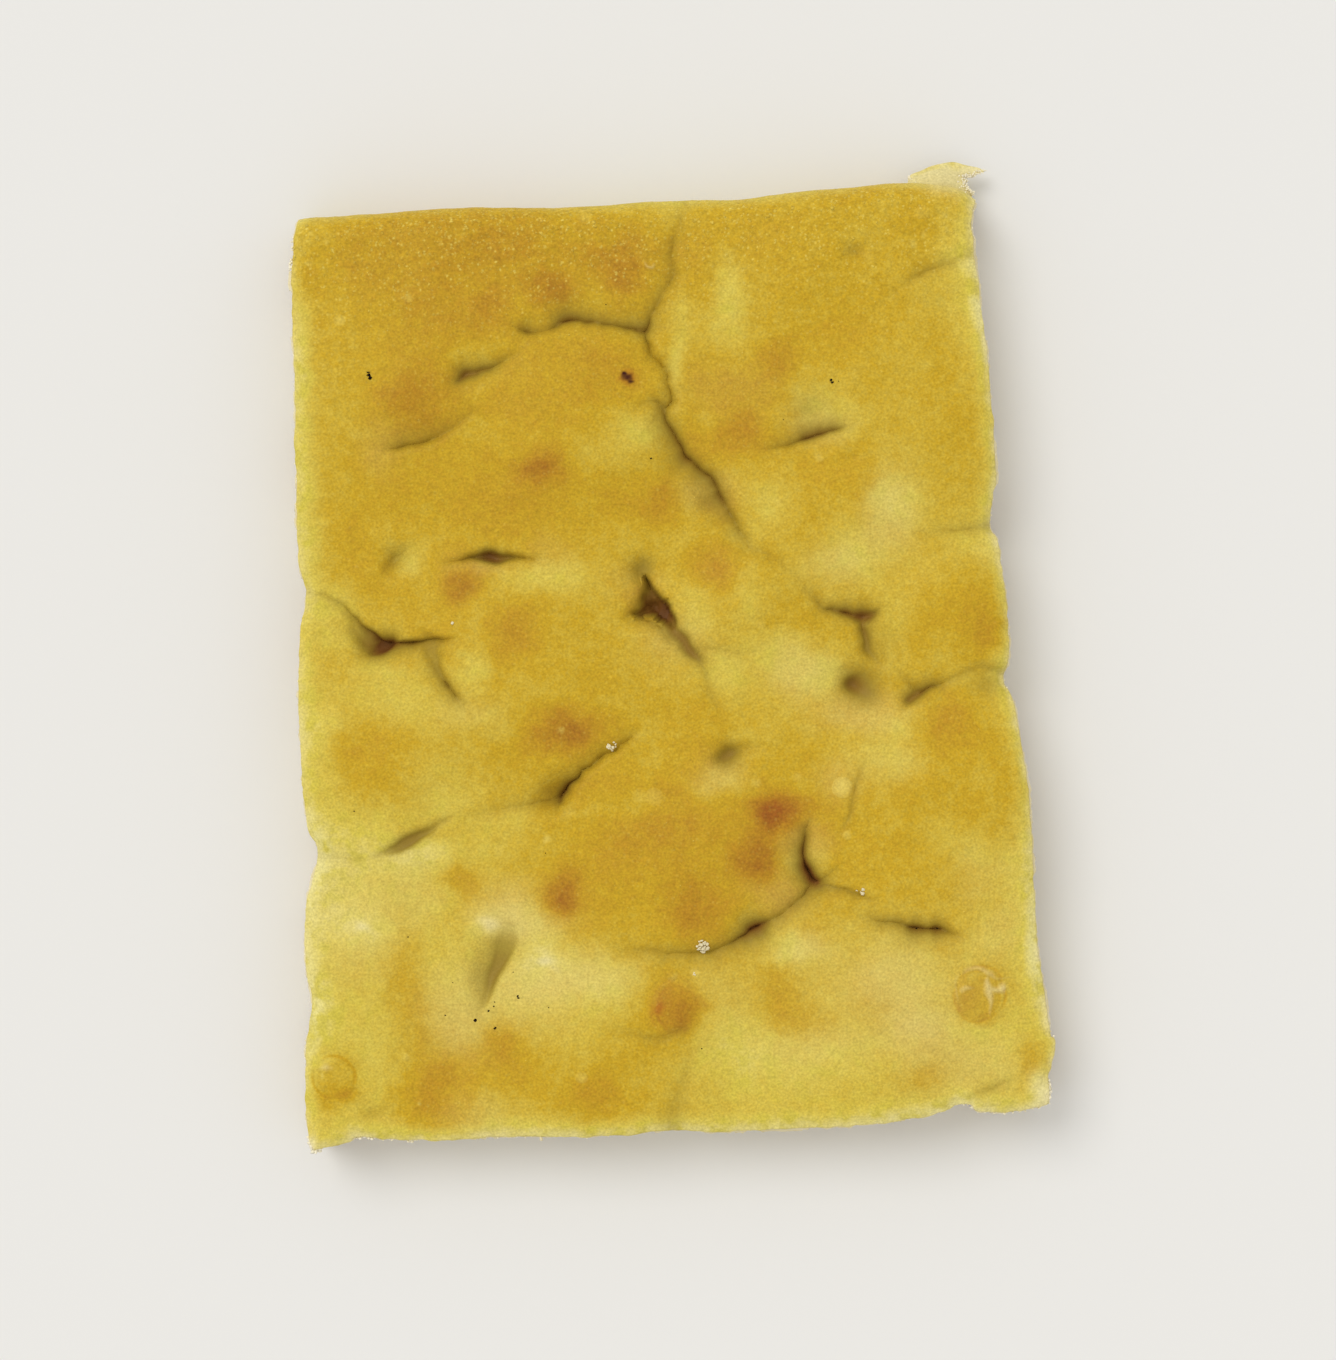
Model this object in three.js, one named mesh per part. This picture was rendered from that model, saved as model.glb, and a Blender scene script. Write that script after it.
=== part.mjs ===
// A cut piece of plain focaccia from a baking tray: one solid loaf of bread with a flat base.
// Units are millimetres and +Z is up. +Y points to the edge that baked against the tray's rim;
// the other three edges were cut. The piece lies on z = 0, centred on its own outline.
import * as THREE from "three";

// Driving dimensions
const bodyHeight = 17.5; // bread thickness between the pillows
const leastHeight = 5.5; // bread left under the deepest dimple
const rimRadius = 7; // how far in the crust starts to turn down at the tray's rim
const rimShare = 0.42; // share of the thickness left where the turned-down rim ends
const rimUndercut = 1.6; // how far the rim tucks in again at the base
const cutEdgeDrop = 0.9; // how far the crust sags at a cut edge
const cutEdgeReach = 2.5; // and over what width
const cutWave = 0.7; // in-and-out wander of a cut face at half height
const flapThickness = 2.5; // thickness of the torn flap at its outer edge
const creaseShape = 1.7; // above 1, the flanks of a crease round over towards its lips
const pinchShare = 0.5; // how strongly the grid draws in towards a crease
const pinchReach = 5.5; // and over what distance
const bumpFalloff = 1.4; // how fast a round bump dies away towards its radius
const cutWaveX = 0.31; // how fast that wander changes along x, in radians a millimetre
const cutWaveY = 0.23;
const columns = 46; // grid cells across
const rows = 62; // grid cells from the front cut to the rim
const rimRows = 4; // the last rows are crowded into the turned-down rim
const rimStart = 0.965; // share of the way from the front cut at which those rows start
const cellSize = 3.4; // roughly the side of a grid cell
const stepsPerCrease = 20;

// The outline, one open curve for each edge, corner to corner
const rimEdge = [
  [-80.5, 94.5], [-68.5, 95.5], [-47, 97], [-20, 97], [-7, 98.5], [12, 98.5], [23, 100],
  [42.5, 102], [51, 102.5], [58, 101.5], [64.5, 98.5],
];
const frontCut = [
  [-77, -106], [-69, -104], [-48, -103.8], [-37, -103], [-15.5, -103], [-0.5, -101.5], [12.5, -102],
  [40, -100.5], [49, -99.5], [56.5, -97.5], [61, -96], [65.5, -97.5], [76, -97.5], [81, -96],
];
const leftCut = [
  [-77, -106], [-79, -95], [-79, -84], [-77.5, -73.5], [-79, -67], [-79, -54], [-76.5, -42.5],
  [-78.5, -36], [-80, -22], [-80.5, 1], [-79, 13.5], [-80.5, 24], [-81, 55.5], [-81.5, 84.5],
  [-80.5, 94.5],
];
const rightCut = [
  [81, -96], [81.5, -89], [82, -81.5], [80, -69], [78.5, -60.5], [77.5, -41.5], [76, -24],
  [73.5, -10], [71.5, -5], [72.3, 3], [70.5, 23], [68.3, 29], [69.3, 42.5], [66, 76], [64.5, 85],
  [63.8, 93], [64.5, 98.5],
];
// A thin torn flap of the base crust stands out below the rim at its right-hand end
const flapEdge = [[51, 102.5], [54.5, 105.5], [59.5, 106.6], [63.5, 106], [67.5, 104.7]];

// Creases where two pillows of dough meet: half width, then x, y and depth along each
const creases = {
  fromRim: { reach: 7, path: [[3, 99, 1.5], [1.5, 90, 2.5], [-1, 81, 4], [-5.5, 70.5, 6]] },
  arch: { reach: 7, path: [[-5.5, 70.5, 6], [-13.5, 72, 4], [-21, 73, 5], [-27, 70.5, 4], [-34, 68.5, 2]] },
  archTail: { reach: 5, path: [[-34, 68.5, 1.5], [-38, 64, 2.5], [-45, 61, 3.5]] },
  lowArc: { reach: 5, path: [[-61, 45.5, 2.5], [-53, 47, 3], [-45.5, 50.5, 2], [-43, 57, 1]] },
  spine: {
    reach: 8,
    path: [
      [-5.5, 70.5, 6], [-3.5, 62, 3], [0, 54, 4], [3.5, 43.5, 7], [10.5, 35, 6.5], [14, 28, 4],
      [18, 23, 2.5], [26, 18, 2], [33, 12, 2],
    ],
  },
  middlePit: {
    reach: 9,
    path: [[-5.5, 20, 3], [-4.5, 12.5, 10], [1, 5.5, 8], [6, -1, 4], [9, -9, 2], [11.5, -18, 1.5]],
  },
  middlePitSide: { reach: 6, path: [[-9, 9.5, 3], [-4, 11, 7]] },
  leftLip: { reach: 7, path: [[-78, 13, 2.5], [-69, 7, 6], [-62, 3.5, 8.5], [-50, 4.5, 4]] },
  leftBranch: { reach: 6, path: [[-54, 3.5, 4], [-51, -3, 3.5], [-46, -9, 1.5]] },
  lens: { reach: 5, path: [[-48, 21, 1.5], [-38, 22, 5], [-31, 21, 1.5]] },
  rightShort: { reach: 5, path: [[20, 45, 2], [29, 48.5, 4], [38, 49.5, 1.5]] },
  rightSlant: { reach: 6, path: [[38, 68, 1], [50, 79.5, 2], [64, 87, 2.5]] },
  rightNotch: { reach: 5, path: [[54.5, 26, 1.5], [70, 28.5, 3]] },
  tee: { reach: 5, path: [[31, 11.5, 2], [38, 10, 4.5], [45, 11, 2]] },
  teeStem: { reach: 6, path: [[40.5, 9.5, 4.5], [41, 4, 4], [42, -2, 3]] },
  pocket: { reach: 6, path: [[48, -8, 5.5], [54.5, -5, 4], [60, -4, 2.5], [73, -5, 3]] },
  centre: { reach: 6, path: [[-24, -30, 8.5], [-18, -23.5, 5], [-8, -16.5, 2]] },
  centreTail: { reach: 7, path: [[-24, -30, 4], [-36, -32, 2], [-50, -35.5, 1]] },
  slot: { reach: 5.5, path: [[-78, -43, 3.5], [-66, -42, 3], [-57.5, -38.5, 6.5], [-48, -34.5, 2]] },
  hook: { reach: 6, path: [[29, -34, 2], [27.5, -41.5, 5], [30, -48, 7.5]] },
  hookLeft: {
    reach: 7,
    path: [[30, -48, 7.5], [23, -54.5, 5], [17, -58.5, 7], [12, -61.5, 4], [1.5, -64, 3], [-12.5, -63, 1.5]],
  },
  hookRight: {
    reach: 6,
    path: [[30, -48, 5], [37, -50, 3], [43.5, -54, 2.5], [49, -57.5, 4.5], [55, -59, 5.5], [62, -60.5, 2]],
  },
  thumbPress: { reach: 7, path: [[-35.5, -58, 3], [-38.5, -67, 7], [-42, -77, 3]] },
  frontGroove: { reach: 5, path: [[-1, -82, 1], [-2.5, -99, 2.5]] },
  hairline: { reach: 4, path: [[39.5, -23, 1], [37.5, -32, 2], [34.5, -39.5, 2]] },
};

// Finger dimples: x, y, radius, depth
const dimples = [
  [39, 87, 4, 2.2], [30, 54, 7, 3], [36.5, -4.5, 6, 4.5], [49, -8, 5, 2], [11.5, -20, 4.5, 4],
  [-58.5, 22, 5, 3], [8, 33, 6, 3], [66, -71, 6, 1.5], [-65, 2, 6, 2.5],
];

// Pillows between the dimples: x, y, radius, rise
const pillows = [
  [-50, 80, 30, 2.2], [30, 80, 28, 2.6], [-22, 48, 26, 3.8], [-64, 58, 18, 2], [53, 50, 22, 2.8],
  [33, 32, 18, 2.2], [14, 12, 14, 2.8], [-30, -6, 26, 3.2], [-60, -20, 22, 2.8], [58, 12, 15, 2.6],
  [58, -30, 24, 3.2], [2, -42, 26, 3.8], [-60, -68, 20, 1.4], [-16, -84, 24, 2.6], [46, -80, 28, 3.2],
];

const smooth = (t) => THREE.MathUtils.smoothstep(t, 0, 1);

function curveThrough(points) {
  return new THREE.SplineCurve(points.map(([x, y]) => new THREE.Vector2(x, y)));
}

// Straight-line interpolation of y over x through a list of points in rising x
function lineAt(points, x) {
  const next = points.findIndex((p) => p[0] > x);
  if (next === 0) return points[0][1];
  if (next < 0) return points.at(-1)[1];
  const [x0, y0] = points[next - 1];
  const [x1, y1] = points[next];
  return THREE.MathUtils.mapLinear(x, x0, x1, y0, y1);
}

// Each crease as a chain of points with its depth in z
const creaseChains = Object.values(creases).map(({ reach, path }) => {
  const curve = new THREE.CatmullRomCurve3(path.map(([x, y, depth]) => new THREE.Vector3(x, y, depth)));
  return { reach, points: curve.getPoints(stepsPerCrease) };
});

// The nearest point of a crease to (x, y), with the crease's depth there in z
function nearestOnCrease(points, x, y) {
  const best = new THREE.Vector3();
  const run = new THREE.Vector3();
  let bestDistance = Infinity;
  for (let i = 1; i < points.length; i++) {
    const start = points[i - 1];
    run.subVectors(points[i], start);
    const along = ((x - start.x) * run.x + (y - start.y) * run.y) / (run.x ** 2 + run.y ** 2);
    const foot = run.clone().multiplyScalar(THREE.MathUtils.clamp(along, 0, 1)).add(start);
    const distance = Math.hypot(foot.x - x, foot.y - y);
    if (distance < bestDistance) {
      bestDistance = distance;
      best.copy(foot);
    }
  }
  return { foot: best, distance: bestDistance };
}

// Draws a grid point in towards the nearest crease, so that the grid is finer there
function pinched(x, y) {
  let nearest = { distance: Infinity };
  for (const { points } of creaseChains) {
    const candidate = nearestOnCrease(points, x, y);
    if (candidate.distance < nearest.distance) nearest = candidate;
  }
  const pull = pinchShare * Math.exp(-((nearest.distance / pinchReach) ** 2));
  return [x + (nearest.foot.x - x) * pull, y + (nearest.foot.y - y) * pull];
}

function creaseDepth(x, y) {
  let deepest = 0;
  for (const { reach, points } of creaseChains) {
    const { foot, distance } = nearestOnCrease(points, x, y);
    if (distance >= reach) continue;
    deepest = Math.max(deepest, foot.z * (1 - distance / reach) ** creaseShape);
  }
  return deepest;
}

// Sum of round bumps given as [x, y, radius, amount], each nearly gone at its radius
function roundBumps(list, x, y) {
  return list.reduce((sum, [bumpX, bumpY, radius, amount]) => {
    const share = Math.hypot(x - bumpX, y - bumpY) / radius;
    return sum + amount * Math.exp(-bumpFalloff * share ** 2);
  }, 0);
}

// The height of the crust at (x, y), with edgeDistance to the nearest cut edge
function topHeight(x, y, edgeDistance) {
  const bread = bodyHeight + roundBumps(pillows, x, y) - roundBumps(dimples, x, y) - creaseDepth(x, y);
  const sag = cutEdgeDrop * (1 - smooth(edgeDistance / cutEdgeReach));
  const height = Math.max(bread, leastHeight) - sag;
  const toRim = THREE.MathUtils.clamp((lineAt(rimEdge, x) - y) / rimRadius, 0, 1);
  return height * (rimShare + (1 - rimShare) * Math.sqrt(1 - (1 - toRim) ** 2));
}

// A grid row's place from the front cut (0) to the rim (1)
function rowShare(row) {
  const plainRows = rows - rimRows;
  if (row <= plainRows) return (rimStart * row) / plainRows;
  const alongRim = (row - plainRows) / rimRows;
  return rimStart + (1 - rimStart) * Math.sin((alongRim * Math.PI) / 2);
}

// Grid points of the plan, filled in between the four edges
function planGrid() {
  const [rim, front, left, right] = [rimEdge, frontCut, leftCut, rightCut].map(curveThrough);
  const grid = [];
  for (let row = 0; row <= rows; row++) {
    const v = rowShare(row);
    const l = left.getPointAt(v);
    const r = right.getPointAt(v);
    for (let column = 0; column <= columns; column++) {
      const u = column / columns;
      const point = front.getPointAt(u).multiplyScalar(1 - v);
      point.addScaledVector(rim.getPointAt(u), v);
      point.addScaledVector(l, 1 - u);
      point.addScaledVector(r, u);
      point.addScaledVector(front.getPoint(0), -(1 - u) * (1 - v));
      point.addScaledVector(front.getPoint(1), -u * (1 - v));
      point.addScaledVector(rim.getPoint(0), -(1 - u) * v);
      point.addScaledVector(rim.getPoint(1), -u * v);
      const inside = row > 0 && row < rows && column > 0 && column < columns;
      const nearRim = row > rows - rimRows - 1;
      const [x, y] = inside && !nearRim ? pinched(point.x, point.y) : [point.x, point.y];
      grid.push({ x, y, row, column });
    }
  }
  return grid;
}

// The grid's boundary, as indices counter-clockwise seen from above
function boundaryLoop() {
  const at = (row, column) => row * (columns + 1) + column;
  const loop = [];
  for (let c = 0; c < columns; c++) loop.push(at(0, c));
  for (let r = 0; r < rows; r++) loop.push(at(r, columns));
  for (let c = columns; c > 0; c--) loop.push(at(rows, c));
  for (let r = rows; r > 0; r--) loop.push(at(r, 0));
  return loop;
}

function focacciaGeometry() {
  const grid = planGrid();
  const positions = [];
  const faces = [];
  for (const { x, y, row, column } of grid) {
    const edgeDistance = Math.min(row, column, columns - column) * cellSize;
    positions.push(x, y, topHeight(x, y, edgeDistance));
  }
  for (let row = 0; row < rows; row++) {
    for (let column = 0; column < columns; column++) {
      const a = row * (columns + 1) + column;
      const d = a + columns + 1;
      const slopeFalls = Math.abs(positions[3 * a + 2] - positions[3 * d + 5]);
      const slopeRises = Math.abs(positions[3 * a + 5] - positions[3 * d + 2]);
      if (slopeFalls < slopeRises) faces.push(a, a + 1, d + 1, a, d + 1, d);
      else faces.push(a, a + 1, d, a + 1, d + 1, d);
    }
  }

  // The sides: a ring at half height and a ring on the base, below the boundary of the top
  const loop = boundaryLoop();
  const middleRing = positions.length / 3;
  const baseRing = middleRing + loop.length;
  const outward = loop.map((index, i) => {
    const before = grid[loop.at(i - 1)];
    const after = grid[loop[(i + 1) % loop.length]];
    return new THREE.Vector2(after.y - before.y, before.x - after.x).normalize();
  });
  const flap = curveThrough(flapEdge);
  const flapStart = flapEdge[0][0];
  const flapWidth = rimEdge.at(-1)[0] - flapStart;
  const onFlap = ({ x, row }) => row === rows && x > flapStart;
  const flapPoint = ({ x }) => flap.getPointAt(Math.min((x - flapStart) / flapWidth, 1));
  loop.forEach((index, i) => {
    const point = grid[index];
    const wander = point.row === rows ? 0 : cutWave * Math.sin(point.x * cutWaveX + point.y * cutWaveY);
    const plain = outward[i].clone().multiplyScalar(wander).add(point);
    const { x, y } = onFlap(point) ? flapPoint(point) : plain;
    positions.push(x, y, onFlap(point) ? flapThickness : positions[3 * index + 2] / 2);
  });
  loop.forEach((index, i) => {
    const point = grid[index];
    const tuck = point.row === rows ? rimUndercut : 0;
    const plain = outward[i].clone().multiplyScalar(-tuck).add(point);
    const { x, y } = onFlap(point) ? flapPoint(point) : plain;
    positions.push(x, y, 0);
  });
  loop.forEach((index, i) => {
    const next = (i + 1) % loop.length;
    const middle = middleRing + i;
    const middleNext = middleRing + next;
    const base = baseRing + i;
    const baseNext = baseRing + next;
    faces.push(index, middle, middleNext, index, middleNext, loop[next]);
    faces.push(middle, base, baseNext, middle, baseNext, middleNext);
  });

  // The flat base closes the lowest ring
  const baseOutline = loop.map((_, i) => {
    const at = 3 * (baseRing + i);
    return new THREE.Vector2(positions[at], positions[at + 1]);
  });
  for (const [a, b, c] of THREE.ShapeUtils.triangulateShape(baseOutline, [])) {
    faces.push(baseRing + a, baseRing + c, baseRing + b);
  }

  const geometry = new THREE.BufferGeometry();
  geometry.setAttribute("position", new THREE.Float32BufferAttribute(positions, 3));
  geometry.setIndex(faces);
  geometry.computeBoundingBox();
  const middle = geometry.boundingBox.getCenter(new THREE.Vector3());
  geometry.translate(-middle.x, -middle.y, 0);
  geometry.computeVertexNormals();
  return geometry;
}

const goldenCrust = new THREE.MeshStandardMaterial({ color: 0xc8a13c, roughness: 0.55, metalness: 0 });
const focaccia = new THREE.Mesh(focacciaGeometry(), goldenCrust);
focaccia.name = "focaccia";

const group = new THREE.Group();
group.add(focaccia);

export default group;
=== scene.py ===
import math

import bpy
import numpy as np
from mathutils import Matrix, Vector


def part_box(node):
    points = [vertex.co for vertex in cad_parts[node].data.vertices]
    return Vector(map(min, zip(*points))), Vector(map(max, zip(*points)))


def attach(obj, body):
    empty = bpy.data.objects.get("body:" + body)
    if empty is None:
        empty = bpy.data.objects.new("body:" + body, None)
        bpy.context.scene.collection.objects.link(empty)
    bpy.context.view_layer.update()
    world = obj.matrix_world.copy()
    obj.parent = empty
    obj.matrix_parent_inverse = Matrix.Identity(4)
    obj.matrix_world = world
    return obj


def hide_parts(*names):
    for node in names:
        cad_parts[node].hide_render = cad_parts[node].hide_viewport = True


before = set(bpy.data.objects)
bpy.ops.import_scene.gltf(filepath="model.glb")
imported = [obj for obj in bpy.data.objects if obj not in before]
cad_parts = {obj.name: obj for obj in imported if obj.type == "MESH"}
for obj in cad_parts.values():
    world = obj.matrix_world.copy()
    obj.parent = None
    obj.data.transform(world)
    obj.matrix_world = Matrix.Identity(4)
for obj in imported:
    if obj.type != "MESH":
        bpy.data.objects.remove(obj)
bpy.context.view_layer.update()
slabLow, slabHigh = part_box("focaccia")
metre = 0.001  # everything below is in millimetres until a mesh is made

# The slab lies flat, crust up, with the edge that baked against the tray's rim at the back (+Y).
# Plans are drawn in millimetres on their own origin and moved onto the frame's box in one go.
slab = {
    "bodyHeight": 17.5,  # bread between the pillows
    "leastHeight": 5.0,  # bread left under the deepest fold
    "rimRadius": 6.0,  # how far in the crust starts to turn down at the rim
    "rimShare": 0.6,  # share of the height left where the rim is widest
    "rimUndercut": 1.6,
    "cutSag": 0.9,  # the crust sags a little where the knife went through
    "cutSagReach": 2.5,
    "edgeSteps": (0.0, 0.15, 0.4, 0.8),  # finer steps where the knife went through
    "firstColumn": 1.3,  # where the even steps begin
    "edgeRound": 0.45,
    "width": 155.0,
    "length": 200.0,
    "columns": 246,
    "rows": 318,
    "rimRows": 12,
    "tuckRows": 7,
    "rimFoot": 0.35,  # height at which the rim's crust meets the underside
    "skin": 0.8,  # thickness of the crust at a cut
}

# One open curve for each edge, corner to corner
rimEdge = [
    (-81, 95.2), (-74, 95.6), (-68.5, 95.8), (-47, 97.5), (-20, 97.8), (-7, 99), (12, 99.3), (23, 100.5),
    (42.5, 102.5), (51, 103.1), (58, 102.7), (62.4, 101.6), (65.6, 99.6),
]
frontCut = [
    (-77.2, -106), (-74.5, -105.4), (-71.5, -104.8), (-69.3, -104.2), (-68.2, -103.3), (-64, -103.4),
    (-58, -103.8), (-48, -103.9), (-37, -103.1), (-15.5, -103), (-0.5, -101.6), (12.5, -102),
    (40, -100.5), (49, -99.5), (55, -98.5), (59.4, -97.2), (60.8, -96.1), (64.2, -96.1), (65.3, -97.3),
    (70, -97.8), (76, -97.3), (81, -96),
]
leftCut = [
    (-77.2, -106), (-78.4, -103), (-79, -95), (-79, -84), (-77.5, -73.5), (-79, -67), (-79, -54),
    (-76.5, -42.5), (-78.5, -36), (-80, -22), (-80.5, 1), (-79.1, 13.5), (-80.7, 24), (-81.4, 55.5),
    (-82, 84.5), (-81, 95.2),
]
rightCut = [
    (81, -96), (81.2, -92.6), (80.8, -90.4), (81.5, -88), (82.3, -84.5), (82.2, -82), (81.3, -80.8),
    (80.6, -75), (79.9, -70), (78.7, -63.5), (77.5, -41.5), (76, -24), (73.5, -10), (71.5, -5),
    (72.3, 3), (70.5, 23), (68.3, 29), (69.5, 42.5), (66.5, 76), (65.1, 85), (64.5, 93), (65.6, 99.6),
]
flapEdge = [(51.5, 104.4), (55, 107.4), (60, 108.5), (64.5, 107.9), (68.7, 106.8)]


def smooth(t):
    t = np.clip(t, 0, 1)
    return t * t * (3 - 2 * t)


def evenly(line, count):
    # count points at even steps along the line, measured in plan; further columns ride along
    steps = np.hypot(*np.diff(line[:, :2], axis=0).T)
    along = np.concatenate([[0], np.cumsum(steps)])
    wanted = np.linspace(0, along[-1], count)
    return np.stack([np.interp(wanted, along, line[:, k]) for k in range(line.shape[1])], axis=1)


def lengthOf(line):
    return float(np.hypot(*np.diff(line[:, :2], axis=0).T).sum())


def rightOf(run):
    # unit steps to the right of each of these, seen along it
    across = np.stack([run[:, 1], -run[:, 0]], axis=1)
    return across / np.maximum(np.hypot(*across.T), 1e-9)[:, None]


def splineThrough(knots):
    knots = np.array(knots, float)
    padded = np.vstack([2 * knots[0] - knots[1], knots, 2 * knots[-1] - knots[-2]])
    t = np.linspace(0, 1, 16, endpoint=False)[:, None]
    runs = []
    for a, b, c, d in zip(padded[:-3], padded[1:-2], padded[2:-1], padded[3:]):
        bend = (2 * a - 5 * b + 4 * c - d) * t ** 2 + (3 * b - a - 3 * c + d) * t ** 3
        runs.append(b + 0.5 * ((c - a) * t + bend))
    return np.vstack(runs + [knots[-1:]])


def noiseAt(x, y, size, seed):
    # smooth random hills, -1 to 1, with about one hill for each size
    rng = np.random.default_rng(seed)
    table = rng.random((128, 128)) * 2 - 1
    turn = rng.random() * math.pi
    u = (x * math.cos(turn) - y * math.sin(turn)) / size + 500
    v = (x * math.sin(turn) + y * math.cos(turn)) / size + 500
    column = np.floor(u).astype(int)
    row = np.floor(v).astype(int)
    fu = smooth(u - column)
    fv = smooth(v - row)
    corner = [[table[(row + j) % 128, (column + i) % 128] for i in (0, 1)] for j in (0, 1)]
    low = corner[0][0] * (1 - fu) + corner[0][1] * fu
    high = corner[1][0] * (1 - fu) + corner[1][1] * fu
    return low * (1 - fv) + high * fv


def wandered(x, y, size, amount, seed):
    # the same points pushed about, so that round patches come out uneven
    return x + amount * noiseAt(x, y, size, seed), y + amount * noiseAt(x, y, size, seed + 1)


def raggedEdge(knots, amounts, seed):
    # the edge, a little torn; it stays put at both corners
    line = evenly(splineThrough(knots), 900)
    along = np.linspace(0, lengthOf(line), len(line))
    normal = rightOf(np.gradient(line, axis=0))
    keep = np.clip(np.minimum(along, along[-1] - along) / 3, 0, 1)
    for k, (size, amount) in enumerate(amounts):
        line = line + normal * (noiseAt(along, along * 0, size, seed + k) * amount * keep)[:, None]
    return line


torn = [(5, 0.2), (1.9, 0.18), (0.9, 0.1)]
edges = {
    "front": raggedEdge(frontCut, torn, 11),
    "rim": raggedEdge(rimEdge, [(9, 0.2), (3, 0.08)], 21),
    "left": raggedEdge(leftCut, torn, 31),
    "right": raggedEdge(rightCut, torn, 41),
}


def planPoint(u, v):
    # the plan is stretched between its four edges: u runs along the front and v back along the sides
    def on(name, share):
        line = edges[name]
        steps = np.linspace(0, 1, len(line))
        return np.stack([np.interp(share, steps, line[:, k]) for k in (0, 1)], axis=-1)

    front, rim, left, right = on("front", u), on("rim", u), on("left", v), on("right", v)
    a, b = u[..., None], v[..., None]
    corners = (1 - a) * (1 - b) * edges["front"][0] + a * (1 - b) * edges["front"][-1]
    corners += (1 - a) * b * edges["rim"][0] + a * b * edges["rim"][-1]
    return (1 - b) * front + b * rim + (1 - a) * left + a * right - corners


def sharesAt(x, y):
    # u and v of any point of the plan, by stepping towards it
    u, v = np.full_like(x, 0.5), np.full_like(x, 0.5)
    for _ in range(30):
        here = planPoint(u, v)
        u = np.clip(u + (x - here[..., 0]) / slab["width"], 0, 1)
        v = np.clip(v + (y - here[..., 1]) / slab["length"], 0, 1)
    return u, v


def gridShares():
    steps = np.array(slab["edgeSteps"])
    inset = slab["firstColumn"]
    across = np.linspace(inset, slab["width"] - inset, slab["columns"]) / slab["width"]
    u = np.concatenate([steps / slab["width"], across, 1 - steps[::-1] / slab["width"]])
    rimStart = 1 - slab["rimRadius"] / slab["length"]
    main = np.linspace(inset / slab["length"], rimStart, slab["rows"])[:-1]
    turning = 1 - (1 - rimStart) * (1 - np.sin(np.linspace(0, math.pi / 2, slab["rimRows"] + 1)))
    v = np.concatenate([steps / slab["length"], main, turning])
    return np.meshgrid(u, v)


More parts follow.
